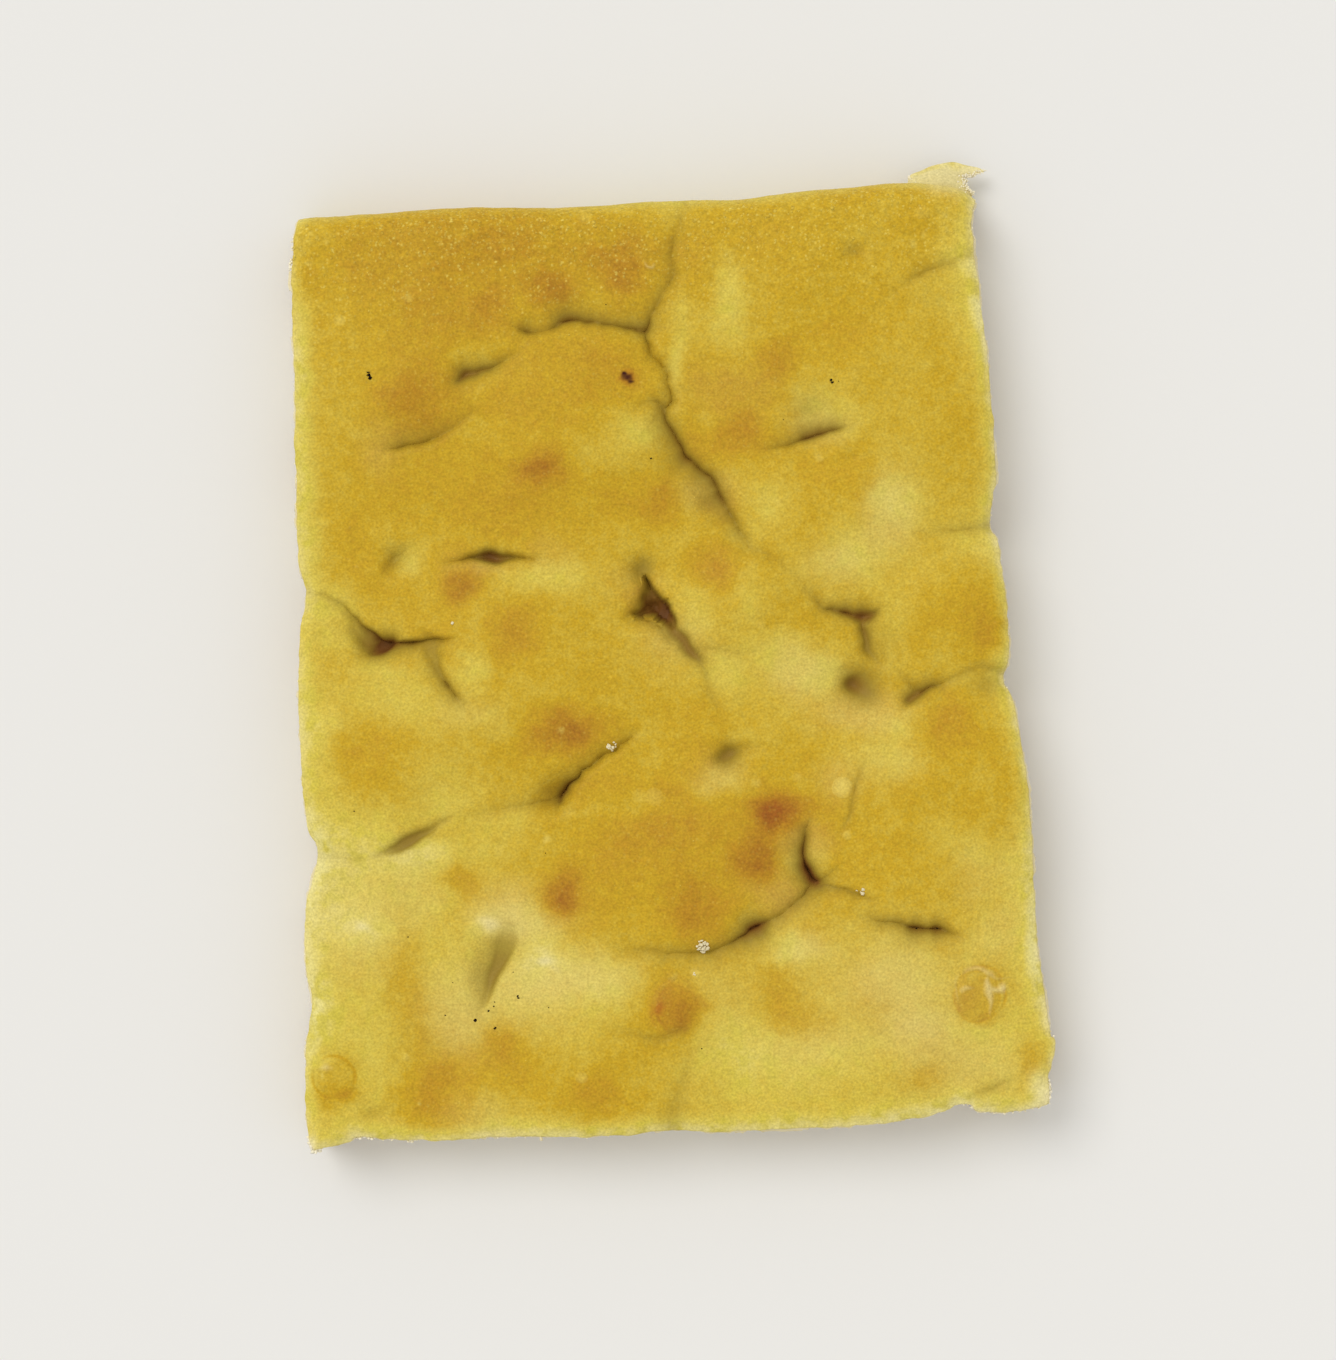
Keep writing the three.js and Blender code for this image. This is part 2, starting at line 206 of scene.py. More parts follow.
# line: x, y, depth along the fold, and where it has one, half the width of its flat floor.
# left and right: how far that side slopes, seen along the line. tone: how strongly shade is painted inside
# it.
# A short reach is a crisp lip, a long one a gentle slope down into the fold.
folds = {
    "rimFold": {"left": 3.4, "right": 5.5, "tone": 1.1, "line": [
        (3, 98.5, .8), (1, 92, 1.2), (0, 88.5, 2), (0, 85, 2.2), (.5, 82.5, 2.2), (-.5, 81, 2.5),
        (-2, 78.5, 2.4), (-4, 74.5, 2.8), (-5.5, 70.5, 4.5),
    ]},
    "arch": {"left": 2.4, "right": 6.5, "tone": 1.15, "line": [
        (-6, 70.5, 4.5), (-11.5, 71.3, 3.8), (-17, 72.3, 4), (-21, 72.8, 5), (-23, 72.4, 5.5),
        (-25.5, 71, 3.2), (-27.5, 70, 2.2), (-29.5, 70, 2.8), (-31.5, 70.1, 3.8), (-34, 71, 1),
    ]},
    "archTail": {"left": 4, "right": 3.6, "tone": 1.3, "line": [
        (-46, 59.6, 3), (-44.8, 60.8, 4.6, .2), (-42.2, 61.4, 4, .15), (-37.5, 62.8, 2.6), (-33.5, 65, 1),
    ]},
    "lowArc": {"left": 6, "right": 2, "tone": 1.0, "line": [
        (-61, 44.7, 1.5), (-58, 45.4, 3), (-53, 46.7, 3), (-50, 47.9, 2.4), (-46.5, 50, 1.6),
        (-43.5, 52, 1.2), (-43, 54.6, .6),
    ]},
    "spineTop": {"left": 2.4, "right": 2.6, "tone": .85, "line": [
        (-6, 70.5, 4.5), (-5.5, 68, 3.4), (-4.5, 65, 3), (-3, 63.8, 2.6), (-1, 61.5, 2.6), (-.8, 58.5, 2.6),
        (0, 55.5, 3.2), (-1.5, 53.5, 3.6),
    ]},
    "spine": {"left": 2.6, "right": 7.5, "tone": 1.0, "line": [
        (-7, 54, .8), (-4, 54.9, 2.4), (-2.4, 53.9, 3.6), (-1.5, 51.5, 4.4), (.1, 48.9, 4.8), (1.8, 46, 5.2),
        (3.5, 42.8, 6), (5.9, 41, 5), (8, 39.2, 5), (9.5, 36.8, 5.2), (11.1, 34.1, 5), (12.1, 31.9, 4.2),
        (13.5, 29, 3.4), (15, 26.6, 2.6), (16.5, 24, 1.6),
    ]},
    "spineTail": {"left": 4, "right": 4, "tone": 1.0, "line": [
        (16.5, 24, 1.6), (23, 20.5, .9), (28.5, 15.8, .8), (32, 11, .8),
    ]},
    "pitRight": {"left": .6, "right": 1.1, "tone": .75, "line": [
        (-5.7, 17.8, 3), (-5, 16.3, 6.2, .15), (-4.5, 14.6, 8, .35), (-4, 12.9, 9, .75),
        (-3.1, 11.2, 10.2, 1.4), (-1.9, 9.7, 11, 1.3), (-.7, 8.3, 10, .75), (.6, 6.7, 5, .25),
    ]},
    "pitMiddle": {"left": .9, "right": 1.2, "tone": .79, "line": [
        (-5.3, 14.8, 5, .2), (-5.7, 13, 8, .4), (-5.6, 11.4, 9, .7),
    ]},
    "pitShoulder": {"left": 3, "right": 3, "tone": 1.1, "line": [
        (-7.4, 18.6, .8), (-6.4, 15.6, 2.2), (-6.6, 12.6, 3), (-8.6, 9.9, 2.4), (-10.6, 8.4, .6),
    ]},
    "pitUnder": {"left": 2, "right": 3, "tone": 1.3, "line": [
        (-9.4, 8, .6), (-6.6, 7.8, 1.8), (-4.2, 7.2, 2.4), (-2, 5.8, 2.4), (0, 3.6, 1.6), (1.6, 1.4, .5),
    ]},
    "pitTailDark": {"left": 2.2, "right": 3.6, "tone": 1.75, "line": [
        (-.6, 6.8, 3.2, .6), (1.4, 4.8, 3.2, .5), (3.4, 2.5, 3.3, .4), (5, .5, 3, .3), (6.8, -2, 1),
    ]},
    "pitLeft": {"left": 1, "right": .7, "tone": .79, "line": [
        (-7.9, 9.6, 5, .3), (-7, 9.7, 7.4, .5), (-5.8, 10.1, 9, .8), (-4.4, 10.6, 9.5, 1.2),
    ]},
    "pitTail": {"left": 3.5, "right": 3.5, "tone": 1.2, "line": [
        (6.3, -1.4, 1.8), (7.2, -4, 1.4), (8.5, -8, 1), (11, -12.5, .5),
    ]},
    "pitBranch": {"left": 3.4, "right": 3.4, "tone": 1.2, "line": [
        (6, 2, 1.2), (12, 1.2, .9), (18.5, 1.2, .4),
    ]},
    "leftLip": {"left": .9, "right": 5, "tone": 1.15, "line": [
        (-80, 14.6, .8), (-75, 13.4, 1), (-71.8, 11.7, 1.6), (-68.6, 8.9, 2.6), (-66, 6.4, 4.2),
        (-63.2, 4.2, 6.4), (-61, 3.2, 6.8), (-58.8, 3.1, 5.8), (-54.6, 3.6, 4.2), (-50.5, 3.9, 3.2),
        (-47.5, 4.1, 1),
    ]},
    "leftFloor": {"left": 2, "right": 4, "tone": 1, "line": [
        (-69.8, 8.8, 1.2), (-68, 6.2, 2.4, .5), (-66.2, 4.2, 4.2, 1.2), (-64.2, 3.1, 5.8, 1.5),
        (-62.2, 2.9, 6.6, 1), (-60.2, 3.1, 6, .3),
    ]},
    "leftFloorEnd": {"left": 3, "right": .7, "tone": 1.2, "line": [
        (-65.2, .5, 3, .1), (-64.2, 1.2, 5.4, .4), (-62.8, 2, 7, .8), (-61, 2.7, 7.4, .5),
    ]},
    "leftBranch": {"left": 2.2, "right": 4.4, "tone": 1.2, "line": [
        (-52.2, 2.8, 2.8, 1.1), (-51.3, .2, 2.6, .8), (-50.2, -2.8, 3, .3), (-48.6, -5.6, 3.4),
        (-46.8, -7.9, 3), (-45, -10, 1.4, .3),
    ]},
    "lens": {"left": 1.6, "right": 1.4, "tone": 1.2, "line": [
        (-49, 20.4, .6), (-45, 21.2, 2), (-42, 21.5, 4.2, .2), (-40, 21.6, 6, .5), (-38, 21.5, 6, .55),
        (-35.5, 21.4, 4.2, .25), (-32.5, 21.3, 2.6), (-28, 21, .5),
    ]},
    "nick": {"left": 3.4, "right": 4, "tone": 1.1, "line": [
        (-62, 18, .8), (-60.1, 20.6, 2.4, .4), (-57.2, 23.4, 1),
    ]},
    "rightShort": {"left": 7, "right": 1.8, "tone": 1.1, "line": [
        (18.5, 44.4, .5), (21.5, 45, 1.6), (26, 46.2, 3.2), (29, 47.3, 5), (32, 48.3, 5.2), (35, 49, 4),
        (38.3, 49.7, .6),
    ]},
    "slant": {"left": 4.5, "right": 3, "tone": 1.2, "line": [
        (40, 70.6, .2), (45, 75.8, .3), (49.5, 79.6, .5), (53.4, 82.6, 1.8), (58, 84.2, 1.5),
        (64.5, 86.8, 1),
    ]},
    "edgeGroove": {"left": 4.5, "right": 4, "tone": 1.0, "line": [
        (54.5, 26.6, .6), (60, 27.2, 1.4), (65, 27.6, 1.9), (69.5, 29, 2.6),
    ]},
    "tee": {"left": 4, "right": 3, "tone": 1.4, "line": [
        (28.9, 15, .8), (32.2, 11, 2.2), (34.6, 10.4, 3.4), (37.6, 9.8, 4.6), (39.9, 9.2, 5.2, .2),
        (42.2, 9, 4.8, .3), (43.8, 9.8, 2.4), (45, 11, .8),
    ]},
    "teeStem": {"left": 4.5, "right": 2.6, "tone": 1.4, "line": [
        (40.8, 8.8, 4.4, .3), (40.9, 6.9, 3.6, .15), (41.3, 4.5, 3.4, .15), (42.2, 1.8, 3, .3),
        (44, -.6, 1.6, .2),
    ]},
    "pocket": {"left": 4.6, "right": 2.2, "tone": 1.35, "line": [
        (50.3, -10.5, 1.2), (51.1, -9.2, 3.8, .25), (52.5, -8, 4.4, .2), (54.6, -6.6, 4), (57.4, -5.7, 2.4),
    ]},
    "pocketUp": {"left": 3.6, "right": 3.6, "tone": 1.0, "line": [
        (48, -2.6, .8), (50, -4.6, 1.8), (52.2, -7.2, 3),
    ]},
    "pocketRight": {"left": 3, "right": 6, "tone": 1.0, "line": [
        (57.4, -5.7, 2.4), (60.5, -4.5, 1.4), (64.5, -2.5, 1.4), (67.5, -2, 1.8), (72.5, -3.6, 2),
    ]},
    "centre": {"left": 4, "right": 1.8, "tone": .82, "line": [
        (-24, -30.8, 7), (-23.5, -29, 8.5), (-22.3, -27.4, 7.5), (-20.4, -25.6, 4.8), (-17.9, -23.4, 4),
        (-15.3, -21.3, 3.6), (-12.5, -19.7, 3), (-9.7, -18, 2.4), (-7.6, -15.8, .6),
    ]},
    "centreTail": {"left": 5, "right": 4, "tone": 1.0, "line": [
        (-24.4, -30.2, 4), (-28.5, -31, 2.4), (-36, -32.5, 1.2), (-44, -34, .4),
    ]},
    "slot": {"left": 1.8, "right": 1.5, "tone": 1.85, "line": [
        (-64, -42.7, .5), (-61.9, -41.9, 1.2, .1), (-59.5, -41, 2.2, .5), (-57, -39.7, 2.7, .8),
        (-54, -38, 2.4, .5), (-51.2, -36.3, 1.6, .2), (-47.6, -34, .6),
    ]},
    "slotEnd": {"left": 6, "right": 4.5, "tone": .5, "line": [
        (-79, -42, 2), (-73, -43, 1.4), (-67, -43.5, 1.4),
    ]},
    "hook": {"left": 2.4, "right": 4.8, "tone": 1.2, "line": [
        (29.6, -34.4, .8), (28.6, -38, 3.6), (28.1, -41.5, 5.2), (28.6, -44.4, 7), (29.6, -46.6, 8.6),
        (31, -48.2, 7.6),
    ]},
    "hookLeft": {"left": 6.5, "right": 4, "tone": 1.0, "line": [
        (31, -48.2, 6), (28.4, -50.8, 3.8), (25.4, -53.7, 3), (21.6, -56, 3.4), (19.4, -57, 6),
        (17.3, -58.3, 9), (15.6, -59.4, 6), (12.2, -61.3, 4), (8.8, -62.8, 3.4), (5, -63.4, 3.2),
        (1, -63.6, 2.4), (-5, -63, 1.6), (-11.5, -62.6, .6),
    ]},
    "hookRight": {"left": 1.5, "right": 3.4, "tone": 1.5, "line": [
        (31, -48.2, 3.4), (34, -49.1, 2.4), (37, -49.5, 2), (39.4, -50.6, 1.8), (43, -52, .8),
    ]},
    "crackRight": {"left": 3, "right": 5, "tone": 1.05, "line": [
        (40.8, -55.5, .8), (44.2, -56.4, 2.4), (48, -57, 3.4), (50.3, -57.7, 4.2), (52.4, -58.2, 6.4),
        (54.8, -58.4, 5), (57.2, -58.3, 6), (59.4, -59.1, 3.2), (62.5, -60.4, .8),
    ]},
    "thumbPress": {"left": 1.2, "right": 6, "tone": 1.48, "line": [
        (-35, -58.4, .8, 1.2), (-35.9, -61.6, 2.2, 1.6), (-37.3, -65.6, 2.9, 1), (-38.8, -69.5, 3, .5),
        (-40.2, -73.2, 2, .3), (-41.5, -76.6, .6, .1),
    ]},
    "frontGroove": {"left": 5, "right": 5, "tone": 1.1, "line": [
        (4.4, -81, .1), (3.6, -87.5, .6, .4), (1.6, -94, 1, .6), (.2, -101, 1.4, .6),
    ]},
    "blisterGroove": {"left": 3, "right": 4, "tone": 1.5, "line": [
        (-13, -79, .2), (-7.5, -80.8, .8), (-2.5, -81.8, 1.1, .3), (2.6, -79.6, .8, .3),
    ]},
    "cornerHollow": {"left": 3, "right": 3, "tone": 1.6, "line": [
        (64, -94.4, .4), (69, -92.4, 1.2), (73, -90.4, .3),
    ]},
    "hairline": {"left": .9, "right": 1.5, "tone": 3, "line": [
        (41.5, -22, .2), (39.5, -26.5, .6), (38.5, -31, .7), (38, -34, .8), (36.2, -37.6, .3),
    ]},
}

# Soft hollows left by fingertips: x, y, half width, half length, depth
hollows = [
    (39.2, 87, 2.6, 1.8, 1.6), (29.5, 53.5, 5, 4, 1.4), (38.7, -5.9, 1.4, 1.3, 1.6), (38.8, -5, 2.7, 2.5, 1),
    (41.2, -7.2, 4.8, 4.4, 2.6), (36.8, -2.6, 1.7, 1.4, .6), (11.6, -21.3, 2.6, 2.2, 1.9),
    (13.4, -20, 1.6, 1.3, .8), (9.6, -22.2, 1.7, 1.2, .7), (12.6, -21, 4.6, 4, 1.1),
    (16.8, -19.4, 3.6, 1, .8), (-38.6, -65, 4, 5.4, 1.2), (-40.8, -70, 2.4, 4.6, 1.1),
    (-58.5, 22, 3.6, 3, 1.4), (8.4, 34, 4, 4.2, 2), (-6.6, 18.8, 3, 3.1, 2.6), (-26, -29.4, 3.6, 3.2, 2),
    (68.5, -6.2, 4.4, 3.4, 1.8), (-65.5, 4.4, 3.6, 3.6, .8), (44, 2, 5, 6, 1.4), (-64, -98.6, 3.6, 1.8, 1),
    (38.5, 43, 1.6, 1.4, .6), (-6, 12, 3.4, 4, .8),
]

# Broad pillows of dough between the folds: x, y, radius, rise
pillows = [
    (-50, 80, 30, 2.2), (30, 80, 28, 2.6), (-22, 48, 26, 3.8), (-64, 58, 18, 2), (53, 50, 22, 2.8),
    (33, 32, 18, 2.2), (14, 12, 14, 2.8), (-30, -6, 26, 3.2), (-60, -20, 22, 2.8), (58, 12, 15, 2.6),
    (58, -30, 24, 3.2), (2, -42, 26, 3.8), (-60, -68, 20, 1.4), (-16, -84, 24, 2.6), (46, -80, 28, 3.2),
]

# Larger blisters under the crust: x, y, half width, half length, rise
blisters = [
    (.4, -75.4, 4.2, 5.6, 1.1), (-73.2, -89.6, 4.6, 4.6, .6), (65.6, -71.6, 5.6, 6, .45),
    (36.4, -27, 1.9, 3.6, .5), (-19.5, -90, 2, 2, .25), (-56.5, 77, 1.8, 1.8, .25),
    (53.5, 95.4, 2.6, 1.8, .35),
]

# The groove round a sunken blister: x, y, half width, half length, depth
blisterRings = [
    (66, -72, 5.4, 6, .12), (65.6, -72, 4.6, 5.2, .07), (-72.8, -90.1, 4.4, 4.4, .11),
    (-19.5, -90, 2, 2, .1), (-56.5, 77, 1.7, 1.7, .1), (53.5, 95.4, 2.6, 1.8, .12), (1, -75.6, 4.4, 5.4, .1),
    (1, -75.6, 5.6, 6.8, .07),
]

# Wrinkled blister skin, its ridges pale cream, partly dried skin and partly painted highlight: x, y, rise,
# half width along each ridge
wrinkles = [
    [
        (67.6, -67.9, .1, .4), (67.4, -69.4, .38, .7), (67.7, -71.2, .48, 1), (68.2, -73.6, .34, .6),
        (68.2, -76.4, .1, .4),
    ],
    [(68, -71.1, .45, .8), (69.6, -71.2, .4, .6), (71, -70.9, .5, 1), (71.8, -70.8, .1, .7)],
    [
        (61.8, -67.9, .1, .4), (63.2, -66.9, .2, .6), (65.7, -66.4, .26, .6), (68, -67.6, .28, .7),
        (69.6, -68.8, .16, .4), (72.2, -68.8, .06, .3),
    ],
    [(61.2, -67.9, .1, .3), (60.6, -70, .16, .35), (60.9, -72.4, .16, .35), (61.2, -75, .05, .3)],
    [(61.8, -71.2, .26, .6), (62.8, -70.7, .3, .6), (64.4, -70.6, .1, .5)],
    [(-76, -88.4, .05, .4), (-74.6, -87.8, .3, .7), (-73.4, -87.9, .1, .5)],
    [(-5.8, 85, .1, .25), (-5.4, 84.2, .22, .3), (-4.4, 84.1, .22, .3), (-3.8, 84.8, .1, .25)],
]

foldForm = {
    "depth": 0.55,  # scales the third column of every line
    "roundness": 1.45,
    "bottom": 0.16,  # radius at the very bottom of a fold
    "shadeReach": 0.36,
    "knots": 0.12,  # how much a crease deepens and shallows along its way
    "closing": 0.4,  # how far the lips of a deep fold lean in over it
    "closingReach": 1.2,
}


def foldLines():
    made = []
    for fold in folds.values():
        line = splineThrough([(*knot, 0)[:4] for knot in fold["line"]])
        line = evenly(line, max(8, int(lengthOf(line) / 0.3)))
        line[:, 0], line[:, 1] = wandered(line[:, 0], line[:, 1], 1.9, 0.3, 61)
        knotted = foldForm["knots"] * np.exp(-(line[:, 3] / 0.3) ** 2)
        line[:, 2] *= 1 + knotted * noiseAt(line[:, 0], line[:, 1], 1.7, 63)
        line[:, 2:] = np.maximum(line[:, 2:], 0)
        made.append({**fold, "line": line})
    return made


def nearestOnFold(fold, x, y, reach):
    # for the points within reach: their index, distance, side, the fold there, and the way to its foot
    line = fold["line"]
    low, high = line[:, :2].min(0) - reach, line[:, :2].max(0) + reach
    near = np.flatnonzero((x > low[0]) & (x < high[0]) & (y > low[1]) & (y < high[1]))
    start, run = line[:-1], np.diff(line, axis=0)
    toX = x[near][:, None] - start[None, :, 0]
    toY = y[near][:, None] - start[None, :, 1]
    share = (toX * run[:, 0] + toY * run[:, 1]) / (run[:, 0] ** 2 + run[:, 1] ** 2)
    share = np.clip(share, 0, 1)
    offX, offY = toX - share * run[:, 0], toY - share * run[:, 1]
    best = np.argmin(offX ** 2 + offY ** 2, axis=1)
    pick = np.arange(len(near))
    share, offX, offY = share[pick, best], offX[pick, best], offY[pick, best]
    found = {
        "at": near, "distance": np.hypot(offX, offY), "side": run[best, 0] * offY - run[best, 1] * offX,
        "depth": start[best, 2] + share * run[best, 2], "floor": start[best, 3] + share * run[best, 3],
        "toX": -offX, "toY": -offY,
    }
    inside = found["distance"] < reach
    return {key: value[inside] for key, value in found.items()}


def pulledToFolds(made, x, y, reach, shareOf):
    # moves each point within reach of a fold towards the nearest one, by the share that shareOf gives
    moveX, moveY, best = np.zeros_like(x), np.zeros_like(x), np.full(x.shape, 1e9)
    for fold in made:
        found = nearestOnFold(fold, x, y, reach)
        closer = found["distance"] < best[found["at"]]
        found = {key: value[closer] for key, value in found.items()}
        at, share = found["at"], shareOf(found)
        best[at] = found["distance"]
        moveX[at], moveY[at] = found["toX"] * share, found["toY"] * share
    return x + moveX, y + moveY


def foldDepth(made, x, y):
    # how far the folds take the crust down, and the shade painted inside them, olive to brown
    down, shade = np.zeros_like(x), np.zeros_like(x)
    bottom = foldForm["bottom"]
    for fold in made:
        found = nearestOnFold(fold, x, y, max(fold["left"], fold["right"]) * 1.35 + 2)
        at, depth = found["at"], found["depth"]
        beyond = np.maximum(found["distance"] - found["floor"], 0)
        beyond = np.hypot(beyond, bottom) - bottom
        reach = np.where(found["side"] > 0, fold["left"], fold["right"])
        away = np.clip(beyond / (reach * (0.55 + 0.8 * np.clip(depth / 8, 0, 1))), 0, 1)
        shape = 1 - (1 - (1 - away) ** foldForm["roundness"]) ** (1 / foldForm["roundness"])
        down[at] = (down[at] ** 3 + (foldForm["depth"] * depth * shape) ** 3) ** (1 / 3)
        # painted shade: darkest at the fold's floor, fading out up each side
        fade = 0.35 + foldForm["shadeReach"] * reach * (0.4 + 0.6 * np.clip(depth / 6, 0, 1))
        dark = fold["tone"] * np.clip(depth / 8, 0, 2) * np.exp(-(beyond / fade) ** 1.3)
        shade[at] = np.maximum(shade[at], dark)
    return down, shade


def closingShare(found):
    # the lips of a narrow, deep fold lean in over it
    share = foldForm["closing"] * smooth((found["depth"] - 2) / 5) * np.exp(-(found["floor"] / 0.3) ** 2)
    return share * np.exp(-(found["distance"] / foldForm["closingReach"]) ** 2)


def bumpSum(bumps, x, y, seed, power=2.0):
    wx, wy = wandered(x, y, 4, 0.5, seed)
    total = np.zeros_like(x)
    for bx, by, rx, ry, amount in bumps:
        away = ((wx - bx) / rx) ** 2 + ((wy - by) / ry) ** 2
        total += amount * np.exp(-0.9 * away ** (power / 2))
    return total


def plainHeight(x, y):
    total = np.full_like(x, slab["bodyHeight"])
    for px, py, radius, rise in pillows:
        total += rise * np.exp(-1.4 * ((x - px) ** 2 + (y - py) ** 2) / radius ** 2)
    total += 0.45 * noiseAt(x, y, 13, 71) + 0.2 * noiseAt(x, y, 5.5, 72) + 0.05 * noiseAt(x, y, 1.8, 73)
    return total


def ringGrooves(x, y):
    wx, wy = wandered(x, y, 3.2, 0.5, 75)
    total = np.zeros_like(x)
    for cx, cy, rx, ry, depth in blisterRings:
        off = (np.hypot((wx - cx) / rx, (wy - cy) / ry) - 1) * (rx + ry) / 2
        total = np.maximum(total, depth * np.exp(-(off / 0.38) ** 2))
    return total * np.clip(0.7 + 1.1 * noiseAt(x, y, 4, 77), 0, 1.3)


def wrinkleRise(x, y):
    rise, paleRidges = np.zeros_like(x), np.zeros_like(x)
    wx, wy = wandered(x, y, 1.6, 0.22, 79)
    for knots in wrinkles:
        line = evenly(splineThrough(knots), 40)
        found = nearestOnFold({"line": line}, wx, wy, 2.5)
        at = found["at"]
        over = np.exp(-(found["distance"] / np.maximum(found["floor"], 0.15)) ** 2)
        rise[at] = np.maximum(rise[at], found["depth"] * over)
        paleRidges[at] = np.maximum(paleRidges[at], np.clip(found["depth"] * 1.2, 0, 0.6) * over)
    return rise, paleRidges


def edgeDistances(u, v):
    # millimetres in from the nearest cut edge, and in from the rim
    across = np.minimum(u, 1 - u) * slab["width"]
    return np.minimum(across, v * slab["length"]), (1 - v) * slab["length"]


def crustSurface(made, x, y, u, v):
    # the height of the crust's skin, and the shade painted there down in its folds and hollows
    edgeDistance, rimDistance = edgeDistances(u, v)
    down, shade = foldDepth(made, x, y)
    dents = bumpSum(hollows, x, y, 91)
    bread = plainHeight(x, y) - down - dents + bumpSum(blisters, x, y, 93, power=3.4)
    bread = np.maximum(bread, slab["leastHeight"] + 0.15 * (bread - slab["leastHeight"]))
    bread -= slab["cutSag"] * (1 - smooth(edgeDistance / slab["cutSagReach"]))
    rounded = 1 - np.clip(edgeDistance / slab["edgeRound"], 0, 1)
    bread -= slab["edgeRound"] * (1 - np.sqrt(1 - rounded ** 2))
    turn = 1 - np.clip(rimDistance / slab["rimRadius"], 0, 1)
    height = bread * (slab["rimShare"] + (1 - slab["rimShare"]) * np.sqrt(1 - turn ** 2))
    # hollows get painted shade too, by their depth
    return height, np.maximum(shade, 0.78 * smooth(dents / 4.5))


def colourOf(hexCode):
    parts = [int(hexCode[k:k + 2], 16) / 255 for k in (1, 3, 5)]
    linear = [p / 12.92 if p <= 0.04045 else ((p + 0.055) / 1.055) ** 2.4 for p in parts]
    return (*linear, 1.0)


def addMesh(name, points, faces, material, values=None, sharp=60):
    # points in millimetres on the plan's origin; faces is a list of arrays of triangles or quads
    mesh = bpy.data.meshes.new(name)
    place = (np.asarray(points, float) + planShift) * metre
    loops = np.concatenate([np.asarray(f).ravel() for f in faces])
    sizes = np.concatenate([np.full(len(f), np.asarray(f).shape[1]) for f in faces])
    starts = np.concatenate([[0], np.cumsum(sizes)[:-1]])
    mesh.vertices.add(len(place))
    mesh.vertices.foreach_set("co", place.ravel())
    mesh.loops.add(len(loops))
    mesh.loops.foreach_set("vertex_index", loops.astype(np.int32))
    mesh.polygons.add(len(sizes))
    mesh.polygons.foreach_set("loop_start", starts.astype(np.int32))
    mesh.update(calc_edges=True)
    mesh.shade_smooth()
    mesh.set_sharp_from_angle(angle=math.radians(sharp))
    for key, value in (values or {}).items():
        layer = mesh.attributes.new(key, "FLOAT", "POINT")
        layer.data.foreach_set("value", np.asarray(value, np.float32).ravel())
    mesh.materials.append(material)
    piece = bpy.data.objects.new(name, mesh)
    bpy.context.scene.collection.objects.link(piece)
    return piece


def addNode(tree, kind, inputs=None, **settings):
    # an input is a value, a socket, or a node, which is joined by the first socket it has in use
    node = tree.nodes.new(kind)
    for key, value in settings.items():
        setattr(node, key, value)
    for key, value in (inputs or {}).items():
        if isinstance(value, bpy.types.Node):
            value = next(socket for socket in value.outputs if socket.enabled)
        if isinstance(value, bpy.types.NodeSocket):
            tree.links.new(value, node.inputs[key])
        else:
            node.inputs[key].default_value = value
    return node


def startTree(name, wanted):
    # every tree takes and gives geometry; wanted holds its other inputs and their kinds
    tree = bpy.data.node_groups.new(name, "GeometryNodeTree")
    for key, kind in {"Geometry": "Geometry", **wanted}.items():
        tree.interface.new_socket(key, in_out="INPUT", socket_type="NodeSocket" + kind)
    tree.interface.new_socket("Geometry", in_out="OUTPUT", socket_type="NodeSocketGeometry")
    return tree, addNode(tree, "NodeGroupInput").outputs


def endTree(tree, grown, material):
    # every tree ends in one plain mesh with its material
    rounded = addNode(tree, "GeometryNodeSetShadeSmooth", {0: grown})
    solid = addNode(tree, "GeometryNodeRealizeInstances", {0: rounded})
    coated = addNode(tree, "GeometryNodeSetMaterial", {0: solid, "Material": material})
    addNode(tree, "NodeGroupOutput", {0: coated})
    return tree


def runTree(piece, tree, values):
    # grows the tree on the piece and keeps the result as the piece's own plain mesh
    modifier = piece.modifiers.new(tree.name, "NODES")
    modifier.node_group = tree
    for socket in tree.interface.items_tree:
        if socket.in_out == "INPUT" and socket.name in values:
            modifier[socket.identifier] = values[socket.name]
    graph = bpy.context.evaluated_depsgraph_get()
    grown = bpy.data.meshes.new_from_object(
        piece.evaluated_get(graph), preserve_all_data_layers=True, depsgraph=graph,
    )
    piece.modifiers.clear()
    piece.data = grown
    grown.name = piece.name
    return piece


def startMaterial(name):
    material = bpy.data.materials.new(name)
    material.use_nodes = True
    material.node_tree.nodes.clear()
    return material, material.node_tree


def perMetre(size):
    # a pattern's scale from the size of one feature in millimetres
    return 1 / (size * metre)


def gridFaces(rows, columns, first=0):
    row, column = np.meshgrid(np.arange(rows - 1), np.arange(columns - 1), indexing="ij")
    a = (first + row * columns + column).ravel()
    return np.stack([a, a + 1, a + columns + 1, a + columns], axis=1)


def ringFaces(upper, lower):
    # quads between two closed rings of the same count, facing out when both run anticlockwise
    return np.stack([upper, lower, np.roll(lower, -1), np.roll(upper, -1)], axis=1)


def fanFaces(ring, middle, up):
    after = np.roll(ring, -1)
    centre = np.full(len(ring), middle)
    return np.stack([ring, after, centre] if up else [after, ring, centre], axis=1)
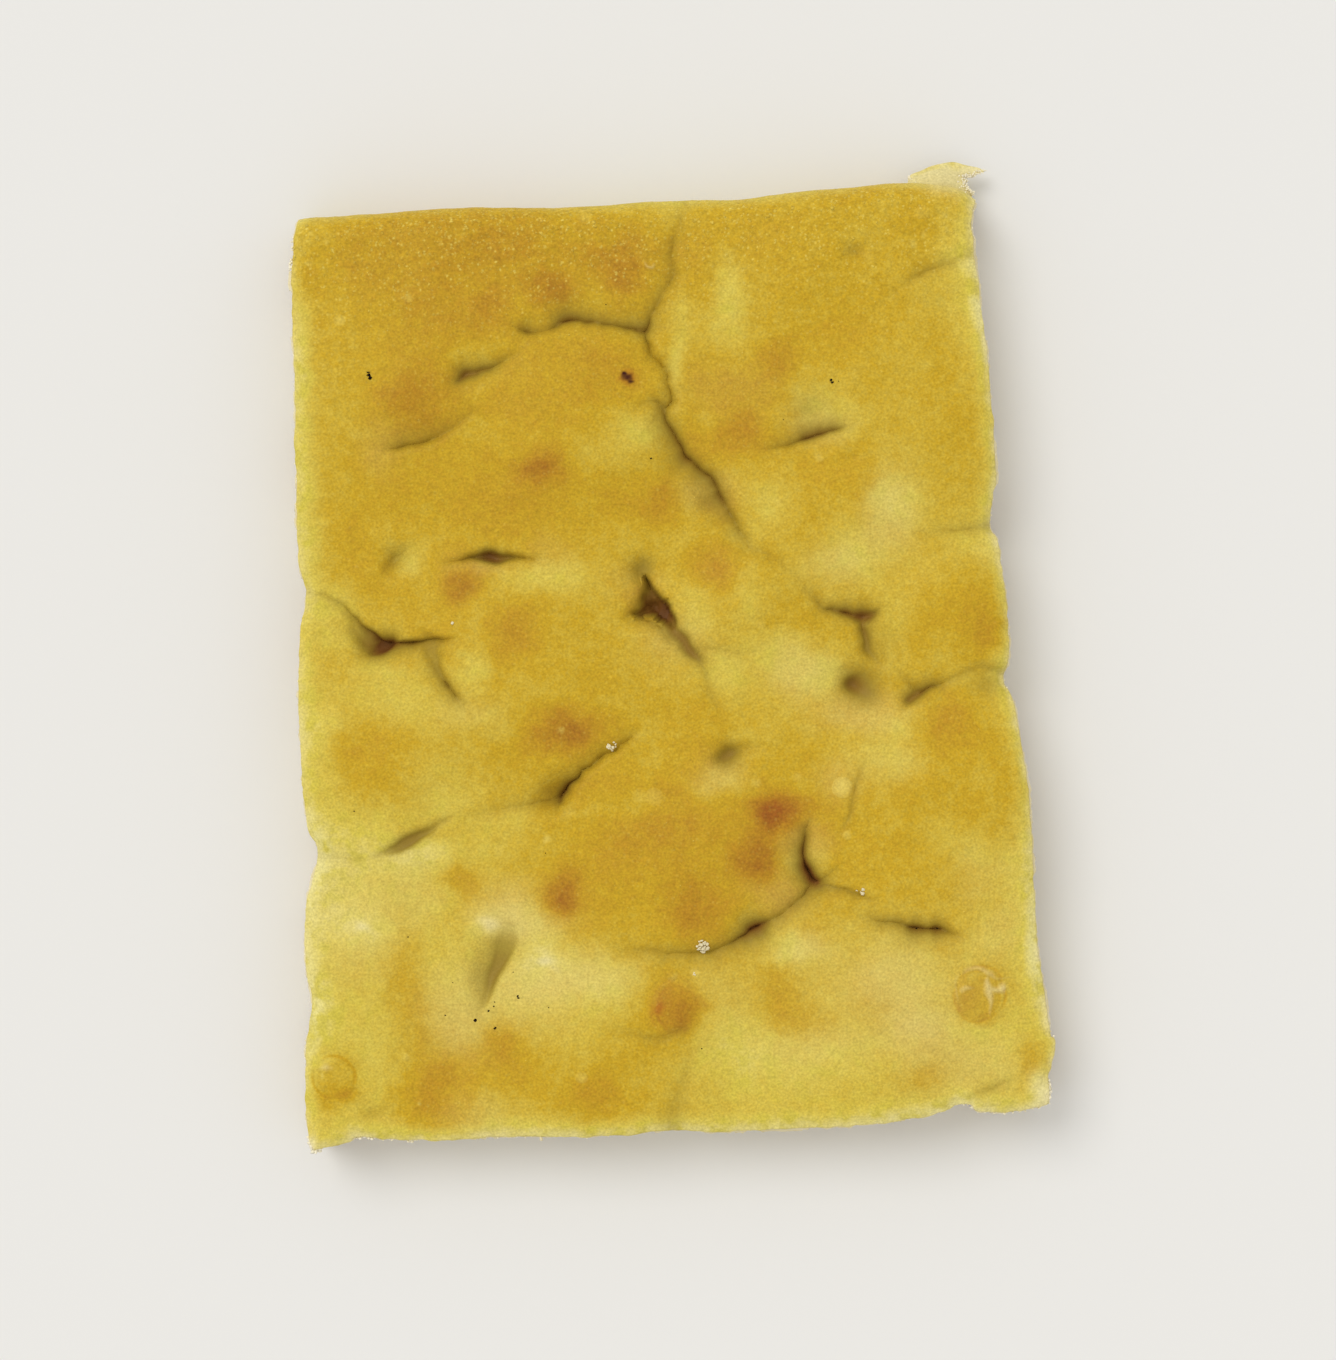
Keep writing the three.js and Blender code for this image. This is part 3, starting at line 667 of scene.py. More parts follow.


# Baked, oiled bread crust. It gives a satin gold skin that browns in soft blotches where a pillow
# stood proud, stays pale where it was shaded, and is peppered with pinhead blisters.
# shade is painted into this colour down in the folds and hollows: olive, then brown, then nearly black
crustLook = {
    "tones": [(0.0, "#e1d484"), (0.25, "#d4be4e"), (0.5, "#c49f21"), (0.72, "#b6871f"), (1.0, "#9a5f1d")],
    "creamTone": "#ebdda2",
    "soakedTone": "#cbba40",
    "rosyTone": "#a34a16",
    "dotTone": "#e0c75c",
    "scorchTone": "#3d140c",
    "roughness": (0.42, 0.6),
    "ior": 1.45,
    "specular": 0.15,
    "blotchSize": 9.0,
    "mottleSize": 2.4,
    "soakedSize": 3.8,
    "pebbleSize": 1.15,
    "grainSize": 0.7,
    "flourSize": 0.5,  # flour is finer than this, and is drawn as coarse as it needs to show
    # each noise that is used: which size it has, and its detail
    "noises": {
        "blotch": ("blotchSize", 3.0), "mottle": ("mottleSize", 3.0), "grain": ("grainSize", 3.0),
        "soaked": ("soakedSize", 4.0), "pebble": ("pebbleSize", 2.0), "flour": ("flourSize", 1.0),
        "swell": ("mottleSize", 2.0), "push": ("grainSize", 2.0),
    },
    "unevenBaking": {"blotch": 0.16, "mottle": 0.2, "grain": 0.16},
    "unrest": (1.2, 0.45),  # browner places are more uneven
    "soakedFrom": (0.47, 0.63),
    "soakedMost": 0.8,
    "soakedBake": (0.42, 0.22),  # only pale dough is soaked
    "flourAmount": 0.62,
    "pebbleAmount": 0.22,
    "pebbleDots": (1.6, 0.55),  # pebbles are rougher among the blisters
    # spacing, inner and outer radius as shares of it, how far each is pushed out of round
    "dotLayers": [(0.95, 0.06, 0.45, 0.7), (1.7, 0.06, 0.3, 0.5)],
    "dotRarity": 2.6,
    # painted shade down in a fold: from, to, largest share, tone
    "foldShadeBands": [(0.0, 0.5, 0.8, "#927a2a"), (0.45, 1.0, 1.0, "#7f5123"), (0.9, 1.6, 1.0, "#4a2f15")],
    "relief": {"grain": 0.09, "swell": 0.12},
    "dotRelief": 0.08,
    "bump": 0.8,
}


def bakedSkin(tree, look):
    coords = addNode(tree, "ShaderNodeTexCoord").outputs["Object"]
    bake, fold, scorch, dots, cream, rosy, pale = (
        addNode(tree, "ShaderNodeAttribute", attribute_name=name).outputs["Fac"]
        for name in ("bake", "fold", "scorch", "dots", "cream", "rosy", "pale")
    )
    noise = {
        name: addNode(tree, "ShaderNodeTexNoise", {
            "Vector": coords, "Scale": perMetre(look[size]), "Detail": detail,
        })
        for name, (size, detail) in look["noises"].items()
    }
    slope, least = look["unrest"]
    unrest = addNode(tree, "ShaderNodeMath", {0: bake, 1: slope, 2: least}, operation="MULTIPLY_ADD")
    baked = bake
    for name, amount in look["unevenBaking"].items():
        uneven = addNode(tree, "ShaderNodeMapRange", {
            "Value": noise[name], "To Min": -amount / 2, "To Max": amount / 2,
        }, clamp=False)
        baked = addNode(tree, "ShaderNodeMath", {0: uneven, 1: unrest, 2: baked}, operation="MULTIPLY_ADD")
    colour = addNode(tree, "ShaderNodeValToRGB", {0: baked})
    band = colour.color_ramp
    while len(band.elements) < len(look["tones"]):
        band.elements.new(0.5)
    for element, (place, tone) in zip(band.elements, look["tones"]):
        element.position = place
        element.color = colourOf(tone)

    # pale dough is uneven, lemon yellow where the oil soaked in
    low, high = look["soakedFrom"]
    soaked = addNode(tree, "ShaderNodeMapRange", {
        "Value": noise["soaked"], "From Min": low, "From Max": high, "To Max": look["soakedMost"],
    })
    browner, paler = look["soakedBake"]
    soaked = addNode(tree, "ShaderNodeMapRange", {
        "Value": bake, "From Min": browner, "From Max": paler, "To Max": soaked,
    })

    # pinhead blisters too small to model: pale dots of every strength, and a few faint discs
    discs = []
    push = addNode(tree, "ShaderNodeVectorMath", {
        0: noise["push"].outputs["Color"], 1: (0.5, 0.5, 0.5),
    }, operation="SUBTRACT")
    for spacing, inner, outer, reach in look["dotLayers"]:
        moved = addNode(tree, "ShaderNodeVectorMath", {
            0: push, 1: (spacing * reach * metre,) * 3, 2: coords,
        }, operation="MULTIPLY_ADD")
        cells = addNode(tree, "ShaderNodeTexVoronoi", {"Vector": moved, "Scale": perMetre(spacing)})
        chance = addNode(tree, "ShaderNodeSeparateColor", {"Color": cells.outputs["Color"]})
        rare = addNode(tree, "ShaderNodeMath", {0: chance, 1: look["dotRarity"]}, operation="POWER")
        kept = addNode(tree, "ShaderNodeMath", {0: rare, 1: dots}, operation="MULTIPLY")
        discs.append(addNode(tree, "ShaderNodeMapRange", {
            "Value": cells, "From Min": outer, "From Max": inner, "To Max": kept,
        }, interpolation_type="SMOOTHSTEP"))
    dot = addNode(tree, "ShaderNodeMath", {0: discs[0], 1: discs[1]}, operation="MAXIMUM")
    layers = [(soaked, "soaked"), (dot, "dot"), (pale, "dot"), (rosy, "rosy"), (cream, "cream")]
    for share, name in layers:
        colour = addNode(tree, "ShaderNodeMix", {
            0: share, 6: colour, 7: colourOf(look[name + "Tone"]),
        }, data_type="RGBA")

    # fine grain and pebbling, lighter and darker without a change of hue
    slope, least = look["pebbleDots"]
    rough = addNode(tree, "ShaderNodeMath", {0: dots, 1: slope, 2: least}, operation="MULTIPLY_ADD")
    half = look["flourAmount"] / 2
    grain = addNode(tree, "ShaderNodeMapRange", {
        "Value": noise["flour"], "To Min": 1 - half, "To Max": 1 + half,
    }, clamp=False)
    half = look["pebbleAmount"] / 2
    pebbles = addNode(tree, "ShaderNodeMapRange", {
        "Value": noise["pebble"], "To Min": -half, "To Max": half,
    }, clamp=False)
    light = addNode(tree, "ShaderNodeMath", {0: pebbles, 1: rough, 2: grain}, operation="MULTIPLY_ADD")
    colour = addNode(tree, "ShaderNodeVectorMath", {0: colour, 1: light}, operation="MULTIPLY")

    # painted shade in the folds: olive first, then brown, then nearly black
    for low, high, most, tone in look["foldShadeBands"]:
        share = addNode(tree, "ShaderNodeMapRange", {
            "Value": fold, "From Min": low, "From Max": high, "To Max": most,
        })
        colour = addNode(tree, "ShaderNodeMix", {0: share, 6: colour, 7: colourOf(tone)}, data_type="RGBA")
    colour = addNode(tree, "ShaderNodeMix", {
        0: scorch, 6: colour, 7: colourOf(look["scorchTone"]),
    }, data_type="RGBA")

    relief = addNode(tree, "ShaderNodeMath", {0: dot, 1: look["dotRelief"]}, operation="MULTIPLY")
    for name, height in look["relief"].items():
        relief = addNode(tree, "ShaderNodeMath", {
            0: noise[name], 1: height, 2: relief,
        }, operation="MULTIPLY_ADD")
    bump = addNode(tree, "ShaderNodeBump", {"Height": relief, "Strength": look["bump"], "Distance": metre})
    glossy, dull = look["roughness"]
    shine = addNode(tree, "ShaderNodeMapRange", {"Value": noise["swell"], "To Min": glossy, "To Max": dull})
    shader = addNode(tree, "ShaderNodeBsdfPrincipled", {
        "Base Color": colour, "Roughness": shine, "IOR": look["ior"], "Normal": bump,
        "Specular IOR Level": look["specular"],
    })
    addNode(tree, "ShaderNodeOutputMaterial", {"Surface": shader})


def makeCrustMaterial():
    material, tree = startMaterial("bakedOiledCrust")
    bakedSkin(tree, crustLook)
    return material


# Open bread crumb, cut and torn. It gives a dull creamy face, yellower down in its cells, and darker there
# with painted shade.
crumbLook = {
    "light": "#f1e6c0",
    "deep": "#cfb87d",
    "roughness": 0.85,
    "specular": 0.2,
    "poreSize": 0.55,
    "poreDepth": 0.25,
    "toneSize": 3.5,
}

# The same crumb where it was torn, not cut. It gives a drier, whiter edge.
tornLook = {**crumbLook, "light": "#fbf4dd", "deep": "#e8d9a8"}


def makeCrumbMaterial(name, look):
    material, tree = startMaterial(name)
    coords = addNode(tree, "ShaderNodeTexCoord").outputs["Object"]
    pores = addNode(tree, "ShaderNodeTexVoronoi", {"Vector": coords, "Scale": perMetre(look["poreSize"])})
    tone = addNode(tree, "ShaderNodeTexNoise", {
        "Vector": coords, "Scale": perMetre(look["toneSize"]), "Detail": 3.0,
    })
    # the deeper down in a cell, the darker: painted shade
    depth = addNode(tree, "ShaderNodeAttribute", attribute_name="cell").outputs["Fac"]
    share = addNode(tree, "ShaderNodeMath", {0: tone, 1: 0.5, 2: depth}, operation="MULTIPLY_ADD")
    colour = addNode(tree, "ShaderNodeMix", {
        0: share, 6: colourOf(look["light"]), 7: colourOf(look["deep"]),
    }, data_type="RGBA")
    bump = addNode(tree, "ShaderNodeBump", {
        "Height": pores, "Strength": 0.5, "Distance": look["poreDepth"] * metre,
    })
    shader = addNode(tree, "ShaderNodeBsdfPrincipled", {
        "Base Color": colour, "Roughness": look["roughness"], "Specular IOR Level": look["specular"],
        "Normal": bump,
    })
    addNode(tree, "ShaderNodeOutputMaterial", {"Surface": shader})
    return material


# The underside, fried in the oiled tray. It gives a browner, duller skin than the top.
baseLook = {"light": "#bf9650", "dark": "#956a32", "roughness": 0.6, "blotchSize": 7.0, "grainSize": 0.8}


def makeBaseMaterial():
    look = baseLook
    material, tree = startMaterial("trayBakedUnderside")
    coords = addNode(tree, "ShaderNodeTexCoord").outputs["Object"]
    blotch = addNode(tree, "ShaderNodeTexNoise", {
        "Vector": coords, "Scale": perMetre(look["blotchSize"]), "Detail": 5.0, "Roughness": 0.6,
    })
    grain = addNode(tree, "ShaderNodeTexNoise", {
        "Vector": coords, "Scale": perMetre(look["grainSize"]), "Detail": 3.0,
    })
    share = addNode(tree, "ShaderNodeMapRange", {"Value": blotch, "From Min": 0.35, "From Max": 0.65})
    colour = addNode(tree, "ShaderNodeMix", {
        0: share, 6: colourOf(look["light"]), 7: colourOf(look["dark"]),
    }, data_type="RGBA")
    bump = addNode(tree, "ShaderNodeBump", {"Height": grain, "Strength": 0.5, "Distance": 0.15 * metre})
    shader = addNode(tree, "ShaderNodeBsdfPrincipled", {
        "Base Color": colour, "Roughness": look["roughness"], "Specular IOR Level": 0.3, "Normal": bump,
    })
    addNode(tree, "ShaderNodeOutputMaterial", {"Surface": shader})
    return material


# Browned patches: x, y, half width, half length, strength
brownPatches = [
    (-56, 56, 8.4, 7.6, .2), (-10, 84, 5, 5, .22), (-26.5, 79.5, 4.6, 4.6, .24), (-39.5, 75, 4.6, 4.6, .14),
    (-27.4, 40.2, 5.2, 4.4, .34), (-2.5, 33.5, 3.6, 3.4, .14), (14.5, 48.5, 5.6, 5.4, .2),
    (22, 64.5, 4.6, 4.4, .16), (8.5, 20.5, 5.6, 5.4, .18), (-45, 16, 5, 4.7, .26), (-34, 6, 6.4, 6, .2),
    (-23, -15.2, 8.4, 5.6, .32), (-21, -14.8, 3.6, 3.2, .14), (22, -33.4, 4.9, 5.6, .46),
    (17.3, -43.1, 4.6, 4.4, .32), (-24.2, -51.4, 4.2, 4.8, .35), (5.5, -53, 7, 6.8, .2),
    (.2, -75.6, 4.8, 5.8, .3), (67, 9.5, 8.8, 8.6, .12), (70, 6, 4.4, 4.4, .12), (59, -14.5, 5.4, 5.4, .16),
    (-45, -47.5, 3.4, 3.2, .2), (-52, -92.5, 8.4, 8.2, .18), (-36, -82.5, 3.4, 3.2, .14),
    (-16.5, -95, 5.6, 5.4, .14), (5, 45, 5, 4, .1), (10, 35, 4, 4, .1), (-2, 32, 5, 4, .06),
    (36, 38, 8, 5, .1), (22, 44, 5, 4, .06), (-20, 53, 8, 5, .06), (30, 51, 4, 3, .05), (22, -38, 5, 4, .06),
    (21, -50, 6, 5, .1), (10, -23, 5, 4, .06), (-27, -21, 6, 4, .06), (-16, -23, 5, 3, .06),
    (-41, -54, 7, 6, .12), (-20, -68, 8, 5, .06), (-3, -77, 4, 4, .08), (5, -92, 6, 5, .08),
    (35, -94, 12, 5, .07), (55, -90, 12, 5, .07), (42, -74, 10, 5, .05), (60, -60, 5, 4, .08),
    (-2, 4, 5, 4, .05), (13, -8, 5, 4, .06), (28, 5, 6, 4, .07), (54, 4, 5, 5, .06), (-51, 3, 4, 3, .05),
    (75, -25, 3, 8, .08), (-78, -28, 4, 6, .06), (62, 27, 4, 3, .05), (17, -82, 6, 4, .06),
    (-45, 20, 3, 4, .06), (-70.4, -93.5, 2.2, 1.6, .2), (-73.6, -95, 3, 2, .06), (-75.4, -92, 3, 5, .12),
    (-57, -70.5, 4.4, 10.8, .14), (-35, -86, 7, 6, .1), (21, -70.5, 5.4, 4.4, .14),
    (25, -75.5, 3.6, 3.6, .12), (31, -78, 3.6, 3, .1), (30.5, -59.5, 3.4, 3.2, .1), (53, -90, 4, 3, .1),
    (79.6, -86.4, 4, 4, .13), (10, -24, 5, 4, .05), (30, -33, 5, 4, .07), (-80, 86, 4, 8, .12),
    (-30, -93, 7, 4, .05), (42, -71, 4, 7, .07), (-26, -33, 3, 5, .07), (48, -8, 4, 4, .06),
    (15, 56, 5, 5, .06), (-15, 83, 4, 4, .06), (66, -72.4, 6, 5.8, .15), (62.4, -73, 2.4, 4, .1),
    (66.5, -76.6, 4.4, 1.8, .08), (-28, 79, 5, 4, .05), (12, 17, 6, 5, .06), (-57, -83, 4, 4, .06),
    (-64.5, -20, 7.6, 7.4, .14), (-38, 82.5, 32, 18, .12), (-1.5, -38, 16, 16, .14),
    (-41.5, 35, 24, 17, .07), (-45, 52, 20, 14, .05), (-20, -50, 10, 8, .1), (-12, 62, 9, 8, .16),
    (24, 60, 8, 7, .12), (-5, 36, 9, 7, .1), (-15, 33, 6, 6, .06), (-20, -28, 8, 3, .1), (8, -58, 8, 5, .08),
    (-68, 84, 5, 6, .08), (-37, 88, 6, 4, .08), (-19, 87, 5, 5, .08), (-7, 13, 4, 5, .16),
    (8, 53, 8, 8, .06), (10, 60, 6, 6, .1), (-66, 34, 10, 12, .04), (32, 70, 4, 4, .06),
    (-28, -20, 4, 4, .08), (50, 92, 8, 5, .06), (48, 78, 5, 5, .05),
]

# Pale patches, where the dough was shaded or sank; the long ones along the left cut and the broad one at the
# lower left are partly painted light, brighter towards the left: the same columns
palePatches = [
    (12, 76.5, 3.6, 9.7, .2), (34, 52.5, 8, 5, .12), (-7.5, 49, 4.7, 4.4, .16), (1, 63, 1.9, 4.4, .16),
    (48.5, 33.5, 5.6, 5, .17), (38.5, 22.5, 6.6, 6.4, .2), (21, 32.5, 5.4, 5.4, .16),
    (-58, 21.5, 4.2, 3.8, .2), (-27.5, 17, 9.7, 4.3, .2), (5, 11.5, 3.6, 6.5, .13),
    (25.5, 1.5, 9.7, 4.4, .16), (12, -4.5, 5.4, 5.4, .18), (-42.5, -2.5, 4.4, 4.3, .18),
    (-60.5, -9, 10.8, 8.6, .12), (45, -22.5, 5.4, 5.4, .12), (11, -23.5, 5.4, 4.4, .16),
    (-67, -58.5, 6.4, 6, .22), (-39.5, -56.5, 5, 4.4, .14), (-27.5, -65, 6, 4.6, .22),
    (-42.5, -63, 35, 19, .12), (47, -70.5, 20, 15, .14), (25.5, -62, 6.5, 4.4, .2),
    (14.5, -81.5, 8.6, 6.5, .18), (62.5, 26.5, 5.6, 3.4, .1), (66.5, 78, 1.9, 7.5, .2),
    (78.5, -63, 2, 10.8, .2), (-20, -75, 10, 8, .12), (50, -92, 26, 8, .12), (-73, 8, 7, 8, .2),
    (-77, -22, 7, 14, .14), (-72, -40, 12, 10, .2), (-57, -40, 13, 8, .08), (-77, -72, 5, 12, .18),
    (-79, 42, 3, 22, .1), (28, -44.5, 6, 3, .14), (-75, -78, 5, 8, .06), (-80, 67, 3, 10, .13),
    (-43, 63, 5, 3, .07), (-12, 42, 8, 4, .05), (13, 38, 5, 4, .06), (-28, 76, 8, 3, .07),
    (61, 86, 3, 5, .09), (17, 9, 4, 4, .06), (37, 12, 4, 2, .06), (-47, -14, 8, 6, .05),
    (-33, -34, 6, 4, .05), (-62, -93, 6, 5, .06), (65, -78, 6, 3, .12), (-75, -77, 5, 6, .05),
    (74, -87, 4, 4, .04), (16, -28, 4, 3, .06), (-50, -44, 6, 4, .05), (-29, 45, 5, 4, .05),
    (70, -82, 9, 8, .08), (45, 95, 16, 7, .05), (1, 72, 3, 6, .12), (16, 16, 5, 6, .1), (33, -4, 5, 4, .16),
    (30, 19, 6, 5, .08), (47, 21, 6, 8, .1), (75, -50, 5, 13, .12), (76, -70, 5, 12, .08),
    (25, -89, 20, 10, .14), (6, -90, 9, 6, .12), (-15, -68, 7, 5, .16), (-8, -31, 10, 2.6, .1),
    (-48, -27, 9, 7, .14), (66, 27, 4, 4, .04), (61, 88, 4, 10, .08), (-52, -42.5, 9, 3, .12),
    (-70, -98, 7, 5, .1), (-64, -82, 9, 9, .15), (-75, -50, 6, 12, .14), (-60, -48, 10, 7, .12),
    (-40, -38, 8, 5, .1), (-78, -5, 4, 10, .08), (3, 97, 12, 5, .1), (25, 98, 10, 5, .08),
    (-16, 98, 8, 4, .06), (-42, 46, 9, 7, .06), (-41, 64, 6, 4, .06), (-79, 20, 5, 8, .12),
    (-62, 6, 5, 4, .08), (-62, -2, 5, 4, .06), (-40, 23, 3, 3, .1), (-38, 9, 5, 6, .08),
    (-52, -33, 5, 4, .08), (-62, -24, 8, 5, .08), (-73, -16, 4, 5, .06), (-60, -70, 12, 6, .05),
    (15, -16, 5, 4, .08), (4, -46, 8, 5, .06), (15, -57, 4, 3, .12), (-27, -56, 5, 5, .12),
    (68, -45, 6, 9, .1), (68, -60, 5, 6, .08), (15, -70, 8, 5, .06), (44, -36, 5, 6, .05),
    (-37, -97, 6, 4, .08), (-79, -88, 4, 10, .12), (2, 20, 5, 5, .06), (-57, 28, 6, 4, .05),
    (12, 24, 6, 4, .05), (46, 8, 4, 6, .06), (-41, -14, 6, 6, .08), (5, -28, 6, 5, .05),
    (-20, -88, 6, 5, .04), (-10, -73, 6, 5, .04), (-60, -60, 6, 5, .04), (30, 55, 5, 4, .04),
    (-60, 60, 5, 4, .04), (80, -94, 2.4, 3.4, .2), (-42, 60, 5, 5, .05), (-42, 49, 5, 4, .06),
    (60, -40, 7, 7, .1), (14, 27, 4, 4, .08), (8, -28, 5, 4, .08), (47, -14, 4, 3, .1), (-63, 27, 5, 4, .08),
    (64, 68, 4, 14, .08), (30, 57, 5, 5, .08), (-24, -100, 14, 4, .06), (-6, 67, 4, 5, .08),
]

# Creamier patches, floury and dull: the same columns
creamPatches = [
    (-68, -56, 9, 12, .16), (48, -72, 22, 13, .08), (52, -80, 8, 6, .08), (-28, -68, 10, 6, .2),
    (-46, -76, 9, 10, .16), (47, -68, 9, 7, .1), (65, -47, 6, 6, .06), (36, -27, 5, 5, .08),
    (10, -72, 8, 8, .05), (-28, -57, 9, 4, .08), (-55, -50, 5, 8, .08), (28, -84, 14, 5, .09),
    (-30, -76, 8, 5, .1), (-36, -50, 8, 4, .08), (-26, 22, 6, 4, .05), (-8, 16, 6, 4, .06),
    (-62, 45, 5, 6, .06), (12, 58, 12, 6, .04), (68, 24, 3, 4, .1), (-42, -98, 8, 4, .08),
    (64, -88, 12, 7, .12), (70, -60, 5, 6, .08), (59.5, 102, 6.5, 2.6, .45), (80, -93.5, 2.4, 4.5, .5),
    (-77.6, -104.6, 1.4, 2, .9), (-14, -68, 8, 5, .12), (47, 31, 6, 9, .14), (10, -25, 6, 4, .12),
    (28, -3, 7, 5, .14), (36, 20, 6, 5, .12), (-54, -44, 8, 4, .06), (31, 50, 6, 5, .1),
    (-37.5, -56.5, 7, 5, .16), (8, 36, 6, 4, .1), (40, -11, 10, 4, .14), (0, 4, 8, 6, .1),
    (28, -62, 6, 4, .14), (28, -40, 6, 4, .1), (22, -50, 6, 5, .1), (46, -22, 6, 6, .05),
    (52, -78, 7, 5, .08), (-32, -57, 8, 4, .08), (-44, -12, 6, 4, .06), (-42, 20, 6, 3, .1),
    (74, -48, 4, 12, .03), (-66.4, -58.6, 1.8, 1.5, .46), (-39.4, -56.9, 2.3, 1.5, .4),
    (-27.4, -65.2, 2, 1.6, .52), (-26, -67.6, 1, .8, .16),
]

# Small pale marks: x, y, radius, strength
paleMarks = [
    (-4, -29.8, 1.9, .3), (-7, -29.5, 1.4, .2), (-26.9, -39, .9, .65), (-37.2, -41.3, 1, .3),
    (31.5, 43, .9, .35), (22.7, 33.3, .9, .35), (18, -26.8, .9, .3), (27, -25.5, 1, .3),
    (4.8, -67.6, .8, .6), (-24, -15.5, .7, .35), (37.5, -38, .8, .5), (36.4, -27.8, 2.2, .7),
    (-19.5, -90, 1.2, .4), (-56.5, 77, 1, .3), (53.5, 95.6, 1.6, .25), (-71.5, 72.4, 1.1, .4),
    (-77.8, 91.4, .6, .4), (-74.2, 89.2, .5, .4), (-75.2, -89.7, .5, .6), (-57.4, -85.6, .8, .4),
    (-54.5, -95.9, .5, .5), (.3, -68.4, .8, .25), (51.6, 88.9, .9, .4), (58.4, 95.3, .6, .4),
    (54, 90.8, .7, .35), (-19, 95, 1.4, .3), (18.8, 7, .8, .3), (-78, 84.7, .8, .3),
]

# Rosy spots in the middle of a browned patch: x, y, half width, half length, strength
rosySpots = [
    (-2.8, -75, 1.2, 1.4, .5), (22.4, -33.2, 4.4, 4.6, .2), (17, -43, 3, 3, .1), (-24, -51, 2.4, 3, .06),
    (-9.6, 60.1, 2.1, 1.7, .5), (-27.4, 40.4, 3, 2.4, .05), (-70.4, -93.6, 1.6, 1.2, .1),
]

# Irregular scorched spots: the same columns
scorchSpots = [(-9.7, 60.1, 1.1, .85, .95), (-10.5, 60.9, .5, .4, .9), (-8.6, 59.3, .6, .4, .8)]

# Blisters that sank or wrinkled, some with pale ridges that are partly dried skin and partly painted
# highlight, and so need a finer skin: x, y, half width, half length
largeSkins = [
    (65.8, -71.8, 8, 8.6), (-73, -90, 5.9, 6.2), (1, -75.6, 7.4, 8.8), (-9.7, 60.1, 4, 3.6),
    (-5, 84.6, 2.2, 1.6),
]


def patchSum(patches, x, y):
    total = np.zeros_like(x)
    for px, py, rx, ry, amount in patches:
        away = ((x - px) / rx) ** 2 + ((y - py) / ry) ** 2
        total += amount * np.exp(-0.95 * away ** 1.3)
    return total


def underSkin(x, y):
    # the crust drops away under the larger skins, so that their grooves show
    drop = np.zeros_like(x)
    for cx, cy, rx, ry in largeSkins:
        inward = (1 - np.hypot((x - cx) / rx, (y - cy) / ry)) * min(rx, ry)
        drop = np.maximum(drop, 0.6 * smooth((inward - 0.7) / 0.9))
    return drop


# Baking that follows the slab's own edges: how strong, and how far in it reaches
browning = {
    "plain": 0.47,
    "cutPallor": (0.2, 3.2),
    "frontPallor": (0.14, 3),
    "rightPallor": (0.08, 3),
    "rimBrown": (0.05, 9),
    "rimPallor": (0.16, 2),
    "broadNoise": (0.05, 16),
    "fullBrown": 0.3,  # browned patches this strong are fully brown
    "creamless": (0.5, 0.25),  # bake at which cream starts to go, and over how much it goes
    "cutCream": (0.65, 0.5),  # dried crumb along the cuts, and how much less where it is brown
    "goldenFront": (0.7, 4, -2, 34),  # the middle of the front cut stays golden: share, in, middle, half
    "goldenLeft": (0.55, 5),
    "ringBrown": 1.2,
    "wrinkleCreamAndGlint": 0.8,
    "blistered": (0.2, 0.8, 23),  # pinheads: everywhere, more at the rim, how far that reaches
}


def nearEdge(key, distance):
    amount, reach = browning[key]
    return amount * np.exp(-(distance / reach) ** 2)


def crustTones(x, y, u, v, fine=False):
    # the point attributes that the crust's material reads; fine adds the smallest marks
    edgeDistance, rimDistance = edgeDistances(u, v)
    leftDistance, rightDistance = u * slab["width"], (1 - u) * slab["width"]
    frontDistance = v * slab["length"]
    wx, wy = wandered(x, y, 8, 1.7, 81)
    wx, wy = wandered(wx, wy, 2.6, 0.7, 83)
    browned = patchSum(brownPatches, wx, wy)
    bake = browning["plain"] + browned - patchSum(palePatches, wx, wy) - nearEdge("cutPallor", edgeDistance)
    bake -= nearEdge("frontPallor", frontDistance) + nearEdge("rightPallor", rightDistance)
    bake += nearEdge("rimBrown", rimDistance) - nearEdge("rimPallor", rimDistance)
    amount, size = browning["broadNoise"]
    bake += amount * noiseAt(x, y, size, 85)
    brown = smooth(browned / browning["fullBrown"])
    start, span = browning["creamless"]
    cream = patchSum(creamPatches, wx, wy) * (1 - smooth((bake - start) / span))
    ragged = 0.5 + 0.5 * noiseAt(x, y, 2.6, 89)
    share, inward, middle, half = browning["goldenFront"]
    golden = 1 - share * np.exp(-(frontDistance / inward) ** 2 - ((x - middle) / half) ** 2)
    golden -= nearEdge("goldenLeft", leftDistance)
    most, less = browning["cutCream"]
    cream += golden * (most - less * brown) * ragged * np.exp(-(edgeDistance / (0.4 + 1.1 * ragged)) ** 2)
    spotX, spotY = wandered(x, y, 0.8, 0.35, 97)
    if fine:
        bake += browning["ringBrown"] * ringGrooves(x, y)
        # pale cream along the wrinkles' ridges, partly dried skin and partly painted highlight
        cream = np.maximum(cream, browning["wrinkleCreamAndGlint"] * wrinkleRise(x, y)[1])
    marks = [(px, py, radius, radius, share) for px, py, radius, share in paleMarks]
    plain, more, reach = browning["blistered"]
    return {
        "bake": bake, "cream": cream, "rosy": patchSum(rosySpots, spotX, spotY),
        "scorch": np.clip(patchSum(scorchSpots, spotX, spotY), 0, 1) if fine else np.zeros_like(x),
        "pale": patchSum(marks, spotX, spotY) * float(fine),
        "dots": plain + more * np.exp(-(rimDistance / reach) ** 2),
    }


def outwardOf(ring):
    return rightOf(np.roll(ring, -1, axis=0) - np.roll(ring, 1, axis=0))


def smoothRing(values, passes):
    for _ in range(passes):
        values = (np.roll(values, 1, axis=0) + values * 2 + np.roll(values, -1, axis=0)) / 4
    return values


def boundaryRing(rows, columns):
    at = np.arange(rows * columns).reshape(rows, columns)
    return np.concatenate([at[0, :-1], at[:-1, -1], at[-1, :0:-1], at[:0:-1, 0]])


def movedRing(line, outward, distance, height):
    # the same points, moved outwards in plan and set at a height
    made = line.copy()
    made[:, :2] += outward * np.reshape(distance, (-1, 1))
    made[:, 2] = height
    return made


def shellFaces(rings):
    return [ringFaces(upper, lower) for upper, lower in zip(rings[:-1], rings[1:])]


